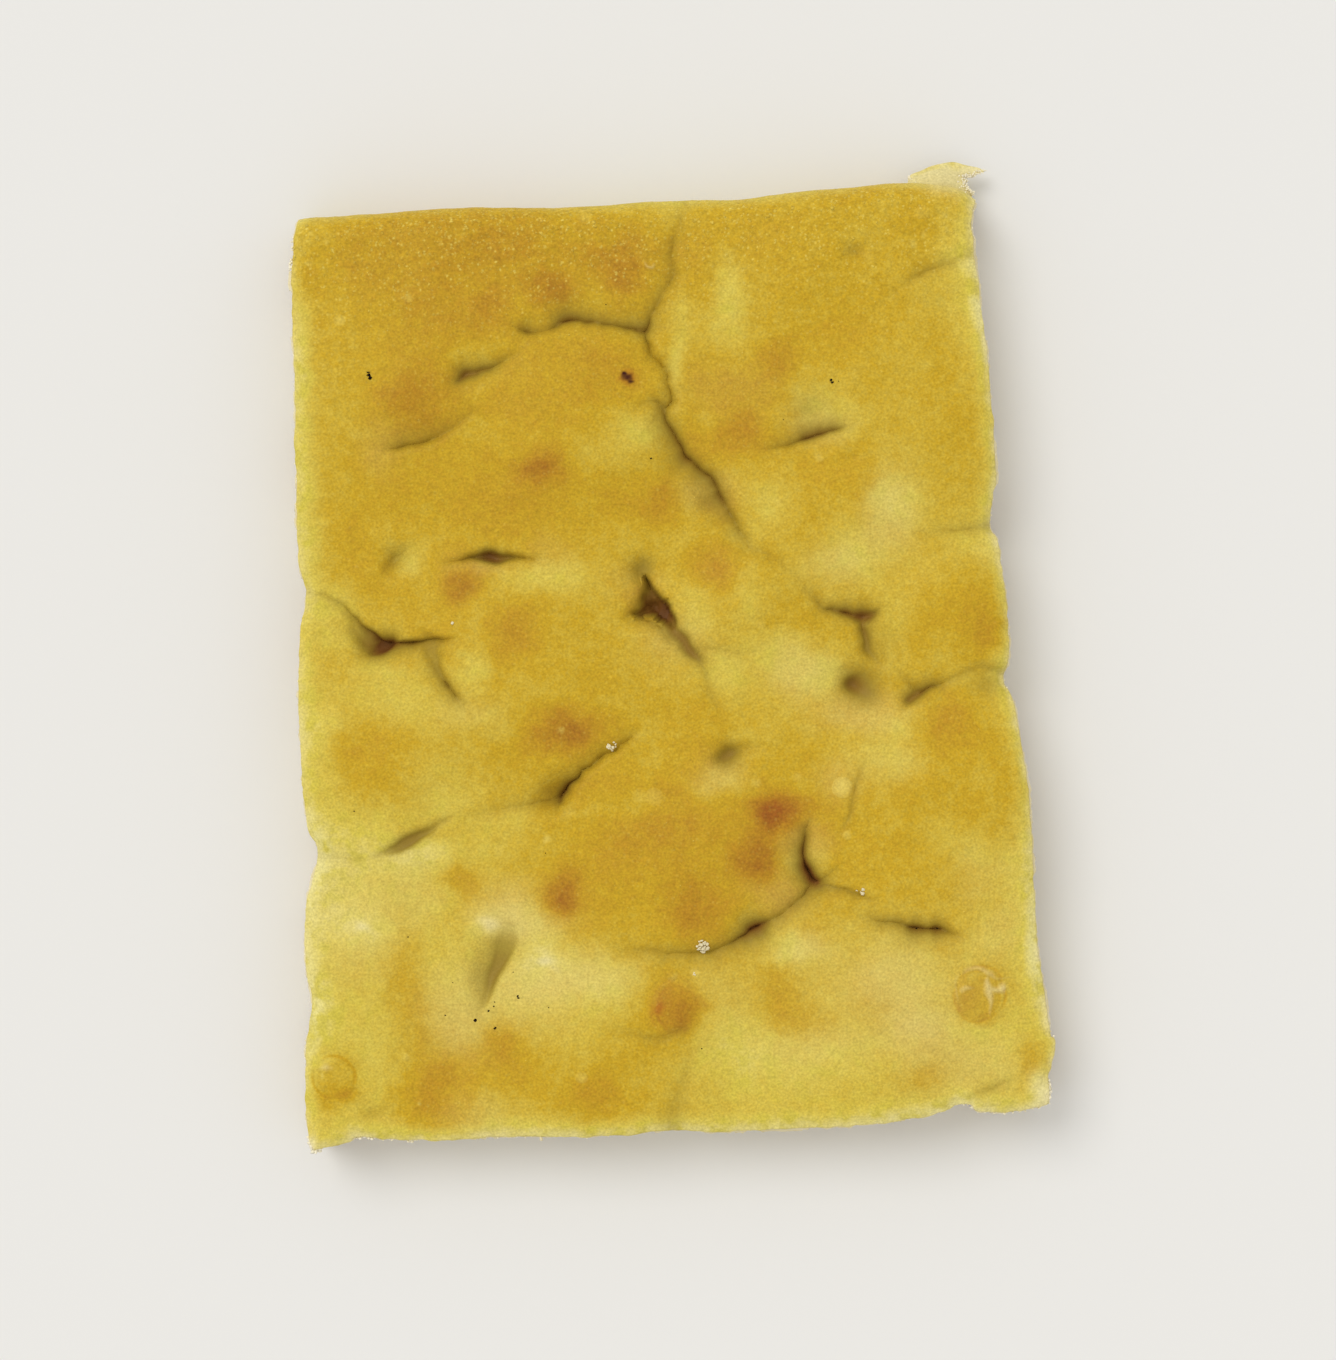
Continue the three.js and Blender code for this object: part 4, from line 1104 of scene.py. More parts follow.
# How the mesh is drawn in towards the folds, so that they come out crisp
meshPull = {
    "reach": 10,
    "share": 0.45,
    "width": 3.4,
    "easeFrom": 0.8,  # it fades out towards the slab's edge
    "easeOver": 5,
    "snapReach": 0.2,  # points this close to a fold go to its bottom
    "snapShare": 0.98,
    "closeReach": 3.5,
}


def crustTop(made):
    # the skin from above: points in rows and columns, with each point's attributes
    across, back = gridShares()
    plan = planPoint(across, back)
    x, y, u, v = plan[..., 0].ravel(), plan[..., 1].ravel(), across.ravel(), back.ravel()
    inside = np.minimum(*edgeDistances(u, v))
    share, width = meshPull["share"], meshPull["width"]
    drawnX, drawnY = pulledToFolds(
        made, x, y, meshPull["reach"], lambda found: share * np.exp(-(found["distance"] / width) ** 2),
    )
    ease = smooth((inside - meshPull["easeFrom"]) / meshPull["easeOver"])
    x, y = x + (drawnX - x) * ease, y + (drawnY - y) * ease
    snapX, snapY = pulledToFolds(made, x, y, meshPull["snapReach"], lambda found: meshPull["snapShare"])
    x, y = np.where(inside > 1, snapX, x), np.where(inside > 1, snapY, y)
    z, folded = crustSurface(made, x, y, u, v)
    z -= underSkin(x, y)
    tones = crustTones(x, y, u, v)
    # the painted shade of the folds and hollows, for the material
    tones["fold"] = folded
    closedX, closedY = pulledToFolds(made, x, y, meshPull["closeReach"], closingShare)
    x, y = np.where(inside > 0.1, closedX, x), np.where(inside > 0.1, closedY, y)
    return np.stack([x, y, z], axis=1).reshape(*across.shape, 3), tones


def rightAlong(line):
    return rightOf(np.gradient(line[:, :2], axis=0))


def tuckedRim(rimLine):
    # more rows that carry the crust round and in under the back edge
    rows = []
    for share in np.arange(1, slab["tuckRows"] + 1) / slab["tuckRows"]:
        inset = slab["rimUndercut"] * (1 - math.cos(share * math.pi / 2))
        height = rimLine[:, 2] * (1 - share) + slab["rimFoot"] * share
        rows.append(movedRing(rimLine, rightAlong(rimLine), inset, height))
    return np.stack(rows)


def sheetOutward(sheet, rowCount):
    # which way is out, for every point of the sheet's boundary
    field = np.zeros((*sheet.shape[:2], 2))
    field[:rowCount, 0] = -rightAlong(sheet[:rowCount, 0])
    field[:rowCount, -1] = rightAlong(sheet[:rowCount, -1])
    field[rowCount:, 0] = field[rowCount - 1, 0]
    field[rowCount:, -1] = field[rowCount - 1, -1]
    field[0] = rightAlong(sheet[0])
    field[-1, 1:-1] = -rightAlong(sheet[rowCount - 1])[1:-1]
    return field.reshape(-1, 2)


# How the skin is closed underneath, out of sight; pairs are at the rim and at the cuts
crustLip = {
    "inset": (0.05, 0.2),
    "leastHeight": 0.5,
    "shelfInset": (1.0, 4.6),
    "shelfDrop": 0.4,
    "shelfHeight": 0.6,
    "rimShelf": 0.2,
    "floorInset": 5.2,
    "floorHeight": 3.0,
}


def makeCrust(top, tones, material):
    # the skin is closed by a thin lip, a shelf in over the crumb, and a floor well inside the bread
    lip = crustLip
    rowCount, columnCount = top.shape[:2]
    sheet = np.concatenate([top, tuckedRim(top[-1])], axis=0)
    ring = boundaryRing(*sheet.shape[:2])
    points = sheet.reshape(-1, 3)
    edge = points[ring]
    inward = -smoothRing(sheetOutward(sheet, rowCount)[ring], 3)
    tucked = ring >= rowCount * columnCount
    lipHeight = np.where(tucked, edge[:, 2], np.maximum(edge[:, 2] - slab["skin"], lip["leastHeight"]))
    shelfHeight = np.maximum(lipHeight - lip["shelfDrop"], lip["shelfHeight"])
    shelfHeight = np.where(tucked, slab["rimFoot"] + lip["rimShelf"], shelfHeight)
    inner = [
        movedRing(edge, inward, np.where(tucked, *lip["inset"]), lipHeight),
        movedRing(edge, inward, np.where(tucked, *lip["shelfInset"]), shelfHeight),
        movedRing(edge, inward, lip["floorInset"], lip["floorHeight"]),
    ]
    count, first = len(ring), len(points)
    stacked = np.vstack([points, *inner, [[0.0, 0.0, lip["floorHeight"]]]])
    rings = [ring] + [first + k * count + np.arange(count) for k in range(3)]
    faces = [gridFaces(*sheet.shape[:2]), *shellFaces(rings)]
    faces.append(fanFaces(rings[-1], len(stacked) - 1, up=False))

    def ringed(values):
        shaped = values.reshape(rowCount, columnCount)
        whole = np.concatenate([shaped, np.repeat(shaped[-1:], slab["tuckRows"], axis=0)]).ravel()
        return np.concatenate([whole, whole[ring], np.zeros(2 * count + 1)])

    return addMesh("crust", stacked, faces, material, {key: ringed(value) for key, value in tones.items()})


# Fine skin over the crust for the large blisters and for every pale mark that isn't well inside one
blisterSkin = {
    "step": 0.16,
    "markMargin": 0.7,
    "onSkin": 0.7,  # a mark nearer than this share of a large skin's half width is drawn on that skin
    "edge": (1.4, 0.45),  # how wide its sloping edge is: at most, and as a share of its half width
    "proud": 0.035,  # how far it stands over the crust, and dips under it at its edge
    "skirt": 0.5,
}
markSkins = [
    (px, py, radius + blisterSkin["markMargin"], radius + blisterSkin["markMargin"])
    for px, py, radius, _ in paleMarks
    if all(
        math.hypot((px - cx) / rx, (py - cy) / ry) > blisterSkin["onSkin"] for cx, cy, rx, ry in largeSkins
    )
]


def makeBlisterSkins(made, material):
    # each is a disc of finer mesh lying in the crust's own surface, its margin just below it
    points, faces, tones = [], [], []
    first = 0
    widest, edgeShare = blisterSkin["edge"]
    for cx, cy, rx, ry in largeSkins + markSkins:
        steps = int(2 * max(rx, ry) / blisterSkin["step"])
        across, along = np.meshgrid(np.linspace(-1, 1, steps), np.linspace(-1, 1, steps))
        x = cx + rx * across * np.sqrt(1 - along ** 2 / 2)
        y = cy + ry * along * np.sqrt(1 - across ** 2 / 2)
        x, y = x.ravel(), y.ravel()
        u, v = sharesAt(x, y)
        z, folded = crustSurface(made, x, y, u, v)
        inward = (1 - np.hypot((x - cx) / rx, (y - cy) / ry)) * min(rx, ry)
        rising = smooth(inward / min(widest, edgeShare * min(rx, ry)))
        z += blisterSkin["proud"] * (2 * rising - 1)
        z += (wrinkleRise(x, y)[0] - ringGrooves(x, y)) * rising
        ring = boundaryRing(steps, steps)
        top = np.stack([x, y, z], axis=1)
        skirt = top[ring] - [0, 0, blisterSkin["skirt"]]
        middle = [[cx, cy, skirt[:, 2].min() - blisterSkin["skirt"]]]
        lower = first + len(top) + np.arange(len(ring))
        points += [top, skirt, middle]
        faces += [gridFaces(steps, steps, first), ringFaces(first + ring, lower)]
        faces.append(fanFaces(lower, first + len(top) + len(ring), up=False))
        here = crustTones(x, y, u, v, fine=True)
        # the painted shade of the folds and hollows, for the material
        here["fold"] = folded
        tones.append({key: np.concatenate([value, value[ring], value[:1]]) for key, value in here.items()})
        first += len(top) + len(ring) + 1
    joined = {key: np.concatenate([tone[key] for tone in tones]) for key in tones[0]}
    return addMesh("blisterSkins", np.vstack(points), faces, material, joined)


def shiftOntoBox(parts):
    # the shift that puts the plan's own middle on the middle of the frame's box
    stacked = np.vstack(parts)
    middle = (stacked.min(axis=0) + stacked.max(axis=0)) / 2
    boxMiddle = [(slabLow[k] + slabHigh[k]) / 2 / metre for k in (0, 1)]
    return np.array([boxMiddle[0] - middle[0], boxMiddle[1] - middle[1], slabLow[2] / metre])


pinheads = {
    "perSquareMetre": 900000.0,  # where the skin is most blistered
    "crowding": 2.5,
    "smallest": 0.2,
    "largest": 0.66,
    "rarity": 3.0,  # how much rarer the largest are
    "flatness": 0.26,
    "sunk": 0.62,  # how much of its half height each is let into the skin
    "stretch": 1.4,
    "turn": 0.7,
    "steepest": 0.05,
    "mostFolded": 0.1,
    "palest": 0.45,
    "seed": 3,
}


def pinheadTree():
    sizes = ("Density", "Smallest", "Largest", "Flatness", "Sunk", "Stretch", "Most folded", "Palest")
    tree, given = startTree("pinheadsOnSkin", {
        **dict.fromkeys(sizes, "Float"), "Seed": "Int", "Material": "Material",
    })
    fold, dots = (
        addNode(tree, "GeometryNodeInputNamedAttribute", {"Name": name}, data_type="FLOAT")
        for name in ("fold", "dots")
    )
    paleness, roll, longer, askew = (
        addNode(tree, "FunctionNodeRandomValue", {2: low, 3: high, 8: seed}, data_type="FLOAT")
        for low, high, seed in (
            (0.1, given["Palest"], 11), (0.0, 1.0, 12), (1.0, given["Stretch"], 13),
            (-pinheads["turn"], pinheads["turn"], 14),
        )
    )
    normal = addNode(tree, "GeometryNodeInputNormal")
    up = addNode(tree, "ShaderNodeSeparateXYZ", {0: normal}).outputs["Z"]
    facing = addNode(tree, "ShaderNodeMath", {0: up, 1: pinheads["steepest"]}, operation="GREATER_THAN")
    bare = addNode(tree, "ShaderNodeMath", {0: fold, 1: given["Most folded"]}, operation="LESS_THAN")
    density = addNode(tree, "ShaderNodeMath", {0: dots, 1: pinheads["crowding"]}, operation="POWER")
    for factor in (facing, bare, given["Density"]):
        density = addNode(tree, "ShaderNodeMath", {0: density, 1: factor}, operation="MULTIPLY")
    spread = addNode(tree, "GeometryNodeDistributePointsOnFaces", {
        "Mesh": given["Geometry"], "Density": density, "Seed": given["Seed"],
    }, distribute_method="RANDOM")
    pale = addNode(tree, "GeometryNodeStoreNamedAttribute", {
        "Geometry": spread.outputs["Points"], "Name": "pale", "Value": paleness,
    }, data_type="FLOAT", domain="POINT")
    rarity = addNode(tree, "ShaderNodeMath", {0: roll, 1: pinheads["rarity"]}, operation="POWER")
    span = addNode(tree, "ShaderNodeMath", {0: given["Largest"], 1: given["Smallest"]}, operation="SUBTRACT")
    span = addNode(tree, "ShaderNodeMath", {0: span, 1: dots}, operation="MULTIPLY")
    size = addNode(tree, "ShaderNodeMath", {
        0: rarity, 1: span, 2: given["Smallest"],
    }, operation="MULTIPLY_ADD")
    long = addNode(tree, "ShaderNodeMath", {0: size, 1: longer}, operation="MULTIPLY")
    half = addNode(tree, "ShaderNodeMath", {0: size, 1: given["Flatness"]}, operation="MULTIPLY")
    scale = addNode(tree, "ShaderNodeCombineXYZ", {0: long, 1: size, 2: half})
    depth = addNode(tree, "ShaderNodeMath", {0: half, 1: given["Sunk"]}, operation="MULTIPLY")
    drop = addNode(tree, "ShaderNodeVectorMath", {
        0: spread.outputs["Normal"], "Scale": depth,
    }, operation="SCALE")
    sunk = addNode(tree, "GeometryNodeSetPosition", {0: pale, "Offset": drop})
    spin = addNode(tree, "ShaderNodeCombineXYZ", {2: askew})
    turn = addNode(tree, "FunctionNodeRotateRotation", {
        0: spread.outputs["Rotation"], 1: spin,
    }, rotation_space="LOCAL")
    head = addNode(tree, "GeometryNodeMeshIcoSphere", {"Radius": metre, "Subdivisions": 1})
    placed = addNode(tree, "GeometryNodeInstanceOnPoints", {
        "Points": sunk, "Instance": head, "Rotation": turn, "Scale": scale,
    })
    return endTree(tree, placed, given["Material"])


def makePinheads(skin, material):
    piece = bpy.data.objects.new("pinheadBlisters", skin.data.copy())
    bpy.context.scene.collection.objects.link(piece)
    return runTree(piece, pinheadTree(), {
        "Density": pinheads["perSquareMetre"], "Smallest": pinheads["smallest"],
        "Largest": pinheads["largest"], "Flatness": pinheads["flatness"], "Sunk": -pinheads["sunk"] * metre,
        "Stretch": pinheads["stretch"], "Most folded": pinheads["mostFolded"], "Palest": pinheads["palest"],
        "Seed": pinheads["seed"], "Material": material,
    })


# A torn strip of the neighbouring slab's skin, caught under the back right corner
tornFlap = {
    "outer": [
        (51.6, 105.2), (52.4, 105.9), (54.3, 106.6), (56.5, 107.6), (59.5, 108.3), (61.5, 108.5), (64, 107.9),
        (66.6, 107.5), (68.6, 106.8),
    ],
    "inner": [(51, 101.8), (54.5, 101.2), (58.5, 100.4), (62, 99.6), (63.8, 99)],
    "start": [(51.6, 105.2), (52.2, 103.4)],
    "end": [
        (63.8, 99), (65.7, 101.3), (65.5, 101.9), (64.4, 102.8), (63.8, 103.8), (64.5, 104.3), (63.6, 104.9),
        (64.5, 105.5), (66, 105.4), (66.5, 105.9), (68.6, 106.8),
    ],
    "length": 14,
    "width": 6,
    "columns": 90,
    "rows": 34,
    "innerHeight": 9.2,
    "outerHeight": 5.6,
    "tipDrop": 1.6,
    "edgeDrop": 0.25,
    "waves": [(0.35, 4, 121), (0.16, 1.3, 122)],  # height, size and seed
    "thick": 1.9,
    "thin": 0.45,
    # crumb along the torn end: inset, height above the skin, how full
    "fringe": [(.1, 0, 1), (.4, .1, 1), (.7, .2, .9), (1, .3, .8), (1.4, .4, .6), (1.9, .5, .4)],
    "endHeights": (7.4, 3.9),
    "startHeights": (5.8, 7.8),
    "shredSizes": (0.24, 0.16),
    "shredSteps": 40,
}


def makeTornFlap(material):
    flap = tornFlap
    outer, inner = (evenly(splineThrough(flap[key]), flap["columns"]) for key in ("outer", "inner"))
    end = evenly(np.array(flap["end"]), flap["rows"])
    share = np.linspace(0, 1, flap["rows"])[:, None]
    start = inner[0] * (1 - share) + outer[0] * share
    u, v = np.meshgrid(np.linspace(0, 1, flap["columns"]), share[:, 0])
    a, b = u[..., None], v[..., None]
    corners = (1 - b) * ((1 - a) * inner[0] + a * inner[-1]) + b * ((1 - a) * outer[0] + a * outer[-1])
    plan = (1 - b) * inner + b * outer + (1 - a) * start[:, None] + a * end[:, None] - corners
    x, y, u, v = plan[..., 0].ravel(), plan[..., 1].ravel(), u.ravel(), v.ravel()
    fall = flap["innerHeight"] - flap["outerHeight"]
    top = flap["innerHeight"] - fall * v ** 1.5 - flap["tipDrop"] * u ** 4
    top += sum(amount * noiseAt(x, y, size, seed) for amount, size, seed in flap["waves"])
    edge = np.minimum(np.minimum(u, 1 - u) * flap["length"], (1 - v) * flap["width"])
    thick = flap["thin"] + (flap["thick"] - flap["thin"]) * (1 - v) * smooth(edge / 2)
    top -= flap["edgeDrop"] * (1 - smooth(edge / 0.6))
    count = len(x)
    points = np.vstack([np.column_stack([x, y, top]), np.column_stack([x, y, top - thick])])
    ring = boundaryRing(flap["rows"], flap["columns"])
    grid = gridFaces(flap["rows"], flap["columns"])
    faces = [grid, grid[:, ::-1] + count, ringFaces(ring, ring + count)]
    ragged = 0.6 + 0.4 * noiseAt(x, y, 1.1, 123)
    golden = smooth((v - 0.62) / 0.3) * (1 - smooth((u - 0.72) / 0.12)) * ragged
    white = smooth((u - 0.74) / 0.12) * ragged
    tones = {
        "bake": 0.03 + 0.22 * golden, "cream": 0.82 - 0.6 * golden + 0.18 * white,
        "dots": np.full_like(x, 0.1),
        # painted shade over the flap, strongest along its inner edge under the rim
        "fold": 0.1 * (1 - smooth((v - 0.7) / 0.2)) + 0.25 * np.exp(-(v / 0.25) ** 2),
    }
    tones = {key: np.tile(value, 2) for key, value in tones.items()}
    return addMesh("tornFlap", points, faces, material, tones)


print("crust: pressing the folds")
foldSet = foldLines()
topGrid, topTones = crustTop(foldSet)
flapLine = evenly(splineThrough(flapEdge), 40)
planShift = shiftOntoBox([topGrid.reshape(-1, 3)[:, :2], flapLine])
crustMaterial = makeCrustMaterial()
crust = makeCrust(topGrid, topTones, crustMaterial)
print("crust: laying the blister skins")
blisterSkins = makeBlisterSkins(foldSet, crustMaterial)
print("crust: growing the pinhead blisters")
pinheadBlisters = makePinheads(crust, crustMaterial)
print("crust: tearing the flap")
flapPiece = makeTornFlap(crustMaterial)


crumbWall = {
    "step": 0.36,
    "rows": 48,
    "proud": 0.5,
    "cells": 11000,
    "smallest": 0.32,
    "largest": 2.8,
    "fineness": 24.0,  # how much commoner small cells are than large ones
    "longest": 1.4,  # how much longer than high a cell can be
    "tilt": 0.7,
    "deepest": 4.0,
    "waves": [(0.35, 9, 101), (0.22, 2.8, 102), (0.12, 1.1, 103)],  # height, size and seed
    "belowCrust": 0.7,
    "foot": 1.0,
    "backInset": 5,
    "backHeight": 9,
    # the lid and the floor it comes down to, and the base: all inside the bread
    "lidInset": 3.8,
    "lidDrop": 0.2,
    "floor": 5,
    "baseInset": 2,
    "base": 0.9,
    "seed": 5,
}


def cutPath(top):
    # the top edge from the back of the left cut, round the front, to the back of the right cut
    return np.vstack([top[::-1, 0], top[0, 1:], top[1:, -1]])


def cellDepths(wall, along, height, cutLength):
    # rounded cells of every size, each hollowed where it was cut open
    alongWall = np.broadcast_to(along[None], height.shape)
    rng = np.random.default_rng(wall["seed"])
    depth = np.zeros(height.shape)
    span = wall["largest"] - wall["smallest"]
    sizes = wall["smallest"] + span * rng.random(wall["cells"]) ** wall["fineness"]
    for size in sizes:
        middle, level = rng.random() * cutLength, 1.2 + rng.random() * 16
        stretch, tilt = 1 + rng.random() * wall["longest"], (rng.random() - 0.5) * wall["tilt"]
        near = np.flatnonzero(np.abs(along - middle) < size * 2.2)
        if not len(near):
            continue
        across, up = alongWall[:, near] - middle, height[:, near] - level
        long = (across * math.cos(tilt) + up * math.sin(tilt)) / (size * stretch)
        short = (up * math.cos(tilt) - across * math.sin(tilt)) / size
        hole = np.sqrt(np.clip(1 - long ** 2 - short ** 2, 0, 1)) * size * (0.5 + 0.6 * rng.random())
        depth[:, near] = np.maximum(depth[:, near], hole)
    return np.minimum(depth, wall["deepest"])


def makeCrumb(top, path, material):
    # a wall of cells round the three cuts, closed behind the rim, with a lid and a floor inside the bread
    wall = crumbWall
    sides = evenly(path, int(lengthOf(path) / wall["step"]))
    back = movedRing(top[-1], rightAlong(top[-1]), wall["backInset"], wall["backHeight"])
    loop = np.vstack([sides, back[::-4][1:-1]])
    cutCount, total = len(sides), len(loop)
    normal = smoothRing(outwardOf(loop[:, :2]), 4)
    along = np.concatenate([[0], np.cumsum(np.hypot(*np.diff(loop[:, :2], axis=0).T))])
    isCut = np.arange(total) < cutCount
    topHeight = smoothRing(loop[:, 2:3], 2)[:, 0] - wall["belowCrust"]
    share = np.linspace(0, 1, wall["rows"])[:, None]
    height = topHeight[None] * (1 - share) + wall["foot"] * share
    depth = cellDepths(wall, along, height, along[cutCount - 1]) * isCut[None]
    alongWall = np.broadcast_to(along[None], height.shape)
    wave = sum(amount * noiseAt(alongWall, height, size, seed) for amount, size, seed in wall["waves"])
    out = np.where(isCut[None], wall["proud"] + wave, 0) - depth
    out *= 0.35 + 0.65 * smooth((topHeight[None] - height) / 1.2)
    levels = [(-wall["lidInset"], wall["floor"]), (-wall["lidInset"], topHeight - wall["lidDrop"])]
    levels += [*zip(out, height), (-wall["baseInset"], wall["base"])]
    rows = [movedRing(loop, normal, outwards, level) for outwards, level in levels]
    stacked = np.vstack(rows + [[[0, 0, wall["floor"]], [0, 0, wall["base"]]]])
    rings = [k * total + np.arange(total) for k in range(len(rows))]
    faces = shellFaces(rings)
    faces.append(fanFaces(rings[0], len(stacked) - 2, up=True))
    faces.append(fanFaces(rings[-1], len(stacked) - 1, up=False))
    cell = np.concatenate([np.zeros(2 * total), np.clip(depth / 3.2, 0, 1).ravel(), np.zeros(total + 2)])
    return addMesh("crumb", stacked, faces, material, {"cell": cell}, sharp=80)


# Crumbs lying on the crust: x, y, how far they spread, how many, smallest and largest radius
crumbHeaps = [
    (6.4, -61.8, 1.25, 26, 0.22, 0.5), (-13, -18.9, .95, 15, 0.18, 0.42), (-47.3, 7.4, .15, 3, 0.2, 0.4),
    (40.7, -50.1, .5, 6, 0.2, 0.4), (39.6, -49.7, .3, 2, 0.15, 0.25), (-28.3, -103.4, .3, 4, 0.2, 0.42),
    (4.8, -67.6, .4, 3, 0.12, 0.2),
]

# Charred specks: x, y, radius
specks = [
    (-65.2, 61.2, .3), (-65.1, 60.6, .5), (-64.8, 59.9, .5), (34, 59.6, .3), (34.3, 59.1, .3),
    (35.6, 59.3, .14), (-42.4, -77.8, .34), (-38.1, -79.5, .36), (-33.3, -72.6, .26), (-33.1, -73, .24),
    (-14.3, 75.9, .13), (23.8, 51.2, .15), (-68.3, -32.9, .16), (-27.3, -41.9, .15), (-34.2, -67.5, .14),
    (-38.2, -73.9, .17), (-38.4, -74.8, .16), (-39.5, -75.8, .2), (-48.8, -76.7, .14), (-56.8, -59.9, .15),
    (-47.2, -69.7, .12), (-26.6, -75, .14), (61.6, -67.9, .13), (6.3, -83.9, .15), (52.5, -58.4, .3),
    (57, -58.1, .3), (51.6, -58, .18), (-4.6, 42.8, .2),
]

# Crumb torn out along the knife cut: centre x, y, half length of the stretch, how full, radius, how far out
tornStretches = [
    (-81, 89.8, 2, 1, .3, .15), (-81.6, 84.7, 1.8, 1, .32, .3), (-78.4, -104.2, 1.2, 1, .5, .2),
    (-77.2, -106, 1.5, 1, .55, .3), (-66, -103.4, 3.4, .7, .3, .05), (-56.5, -104, 1.2, .8, .34, .2),
    (-61, -103.7, 2, .5, .26, .05), (-36, -103.2, 8, .25, .22, 0), (64.6, -96.6, 2.6, .7, .3, .05),
    (60.6, -96.2, 1.6, .5, .26, 0), (81, -93, 3.4, .9, .34, .05), (76, -97.2, 5, .8, .28, .05),
    (69, -97.6, 4, .7, .28, .05), (64, 91, 2, .8, .26, .1), (64.4, 98, 1.6, .7, .26, 0),
    (69, 30, 3, .4, .2, 0), (72.4, -5, 3, .5, .22, 0), (80.8, -81, 2, .7, .24, 0), (-79, -84, 4, .4, .2, 0),
]
tornCut = {
    "step": 0.22,
    "plainFull": 0.09,  # how full the cut is away from the torn stretches
    "plainRadius": 0.16,
    "plainReach": 0.1,
    "below": 0.7,  # how far the shreds hang under the crust's edge
    "spread": 0.3,
    "seed": 17,
}
lumpLook = {
    "flatness": 0.75,
    "speckFlatness": 0.35,
    "roughness": 0.75,
    "noiseSize": 0.35,
    "lift": 0.4,  # how high a crumb's middle lies over the crust, as a share of its radius
    "heap": 0.8,  # how much higher the middle of a large heap stands
    "largeHeap": 8,  # a heap of more crumbs than this is more than one deep
    "speckLift": 0.06,
    "seed": 41,
}
lumpInputs = {"Flatness": "Float", "Noise scale": "Float", "Roughness": "Float", "Material": "Material"}


def lumpsEnd(tree, given, points):
    # uneven little lumps on the points, each as big as its point's size
    size = addNode(tree, "GeometryNodeInputNamedAttribute", {"Name": "size"}, data_type="FLOAT")
    uneven, turn = (
        addNode(tree, "FunctionNodeRandomValue", {0: low, 1: high, 8: seed}, data_type="FLOAT_VECTOR")
        for low, high, seed in (
            ((0.6, 0.6, 0.6), (1.25, 1.25, 1.1), 21), ((-0.5, -0.5, 0.0), (0.5, 0.5, math.tau), 22),
        )
    )
    scale = addNode(tree, "ShaderNodeCombineXYZ", {0: 1.0, 1: 1.0, 2: given["Flatness"]})
    for factor in (uneven, size):
        scale = addNode(tree, "ShaderNodeVectorMath", {0: scale, 1: factor}, operation="MULTIPLY")
    lump = addNode(tree, "GeometryNodeMeshIcoSphere", {"Radius": metre, "Subdivisions": 2})
    placed = addNode(tree, "GeometryNodeInstanceOnPoints", {
        "Points": points, "Instance": lump, "Rotation": turn, "Scale": scale,
    })
    solid = addNode(tree, "GeometryNodeRealizeInstances", {0: placed})
    place = addNode(tree, "GeometryNodeInputPosition")
    noise = addNode(tree, "ShaderNodeTexNoise", {
        "Vector": place, "Scale": given["Noise scale"], "Detail": 1.0,
    }).outputs["Color"]
    push = addNode(tree, "ShaderNodeVectorMath", {0: noise, 1: (0.5, 0.5, 0.5)}, operation="SUBTRACT")
    reach = addNode(tree, "ShaderNodeMath", {0: size, 1: given["Roughness"]}, operation="MULTIPLY")
    push = addNode(tree, "ShaderNodeVectorMath", {0: push, "Scale": reach}, operation="SCALE")
    rough = addNode(tree, "GeometryNodeSetPosition", {0: solid, "Offset": push})
    return endTree(tree, rough, given["Material"])


def lumpsOnPointsTree():
    tree, given = startTree("lumpsOnPoints", lumpInputs)
    return lumpsEnd(tree, given, given["Geometry"])


def lumpsAlongCutTree():
    # follows the cut, and keeps a lump where chance falls under the line's own "full"
    tree, given = startTree("lumpsAlongCut", {
        "Step": "Float", "Spread": "Vector", "Seed": "Int", **lumpInputs,
    })
    curve = addNode(tree, "GeometryNodeMeshToCurve", {0: given["Geometry"]})
    steps = addNode(tree, "GeometryNodeResampleCurve", {
        "Curve": curve, "Length": given["Step"],
    }, mode="LENGTH")
    points = addNode(tree, "GeometryNodeCurveToPoints", {"Curve": steps}, mode="EVALUATED")
    full = addNode(tree, "GeometryNodeInputNamedAttribute", {"Name": "full"}, data_type="FLOAT")
    roll = addNode(tree, "FunctionNodeRandomValue", {2: 0.0, 3: 1.0, 8: given["Seed"]}, data_type="FLOAT")
    gone = addNode(tree, "FunctionNodeCompare", {
        0: roll, 1: full,
    }, data_type="FLOAT", operation="GREATER_THAN")
    kept = addNode(tree, "GeometryNodeDeleteGeometry", {0: points, 1: gone}, domain="POINT")
    back = addNode(tree, "ShaderNodeVectorMath", {0: given["Spread"], "Scale": -1.0}, operation="SCALE")
    jitter = addNode(tree, "FunctionNodeRandomValue", {
        0: back, 1: given["Spread"], 8: 23,
    }, data_type="FLOAT_VECTOR")
    moved = addNode(tree, "GeometryNodeSetPosition", {0: kept, "Offset": jitter})
    return lumpsEnd(tree, given, moved)


def addDots(name, points, values, steps=()):
    # bare points, and the steps that join some of them into lines, for a tree to grow on
    mesh = bpy.data.meshes.new(name)
    mesh.from_pydata((np.asarray(points) + planShift) * metre, list(steps), [])
    for key, value in values.items():
        layer = mesh.attributes.new(key, "FLOAT", "POINT")
        layer.data.foreach_set("value", np.asarray(value, np.float32))
    piece = bpy.data.objects.new(name, mesh)
    bpy.context.scene.collection.objects.link(piece)
    return piece


def lumpValues(material, flatness=lumpLook["flatness"]):
    return {
        "Flatness": flatness, "Noise scale": perMetre(lumpLook["noiseSize"]),
        "Roughness": lumpLook["roughness"] * 2 * metre, "Material": material,
    }


def onCrust(made, x, y):
    return crustSurface(made, x, y, *sharesAt(x, y))[0]


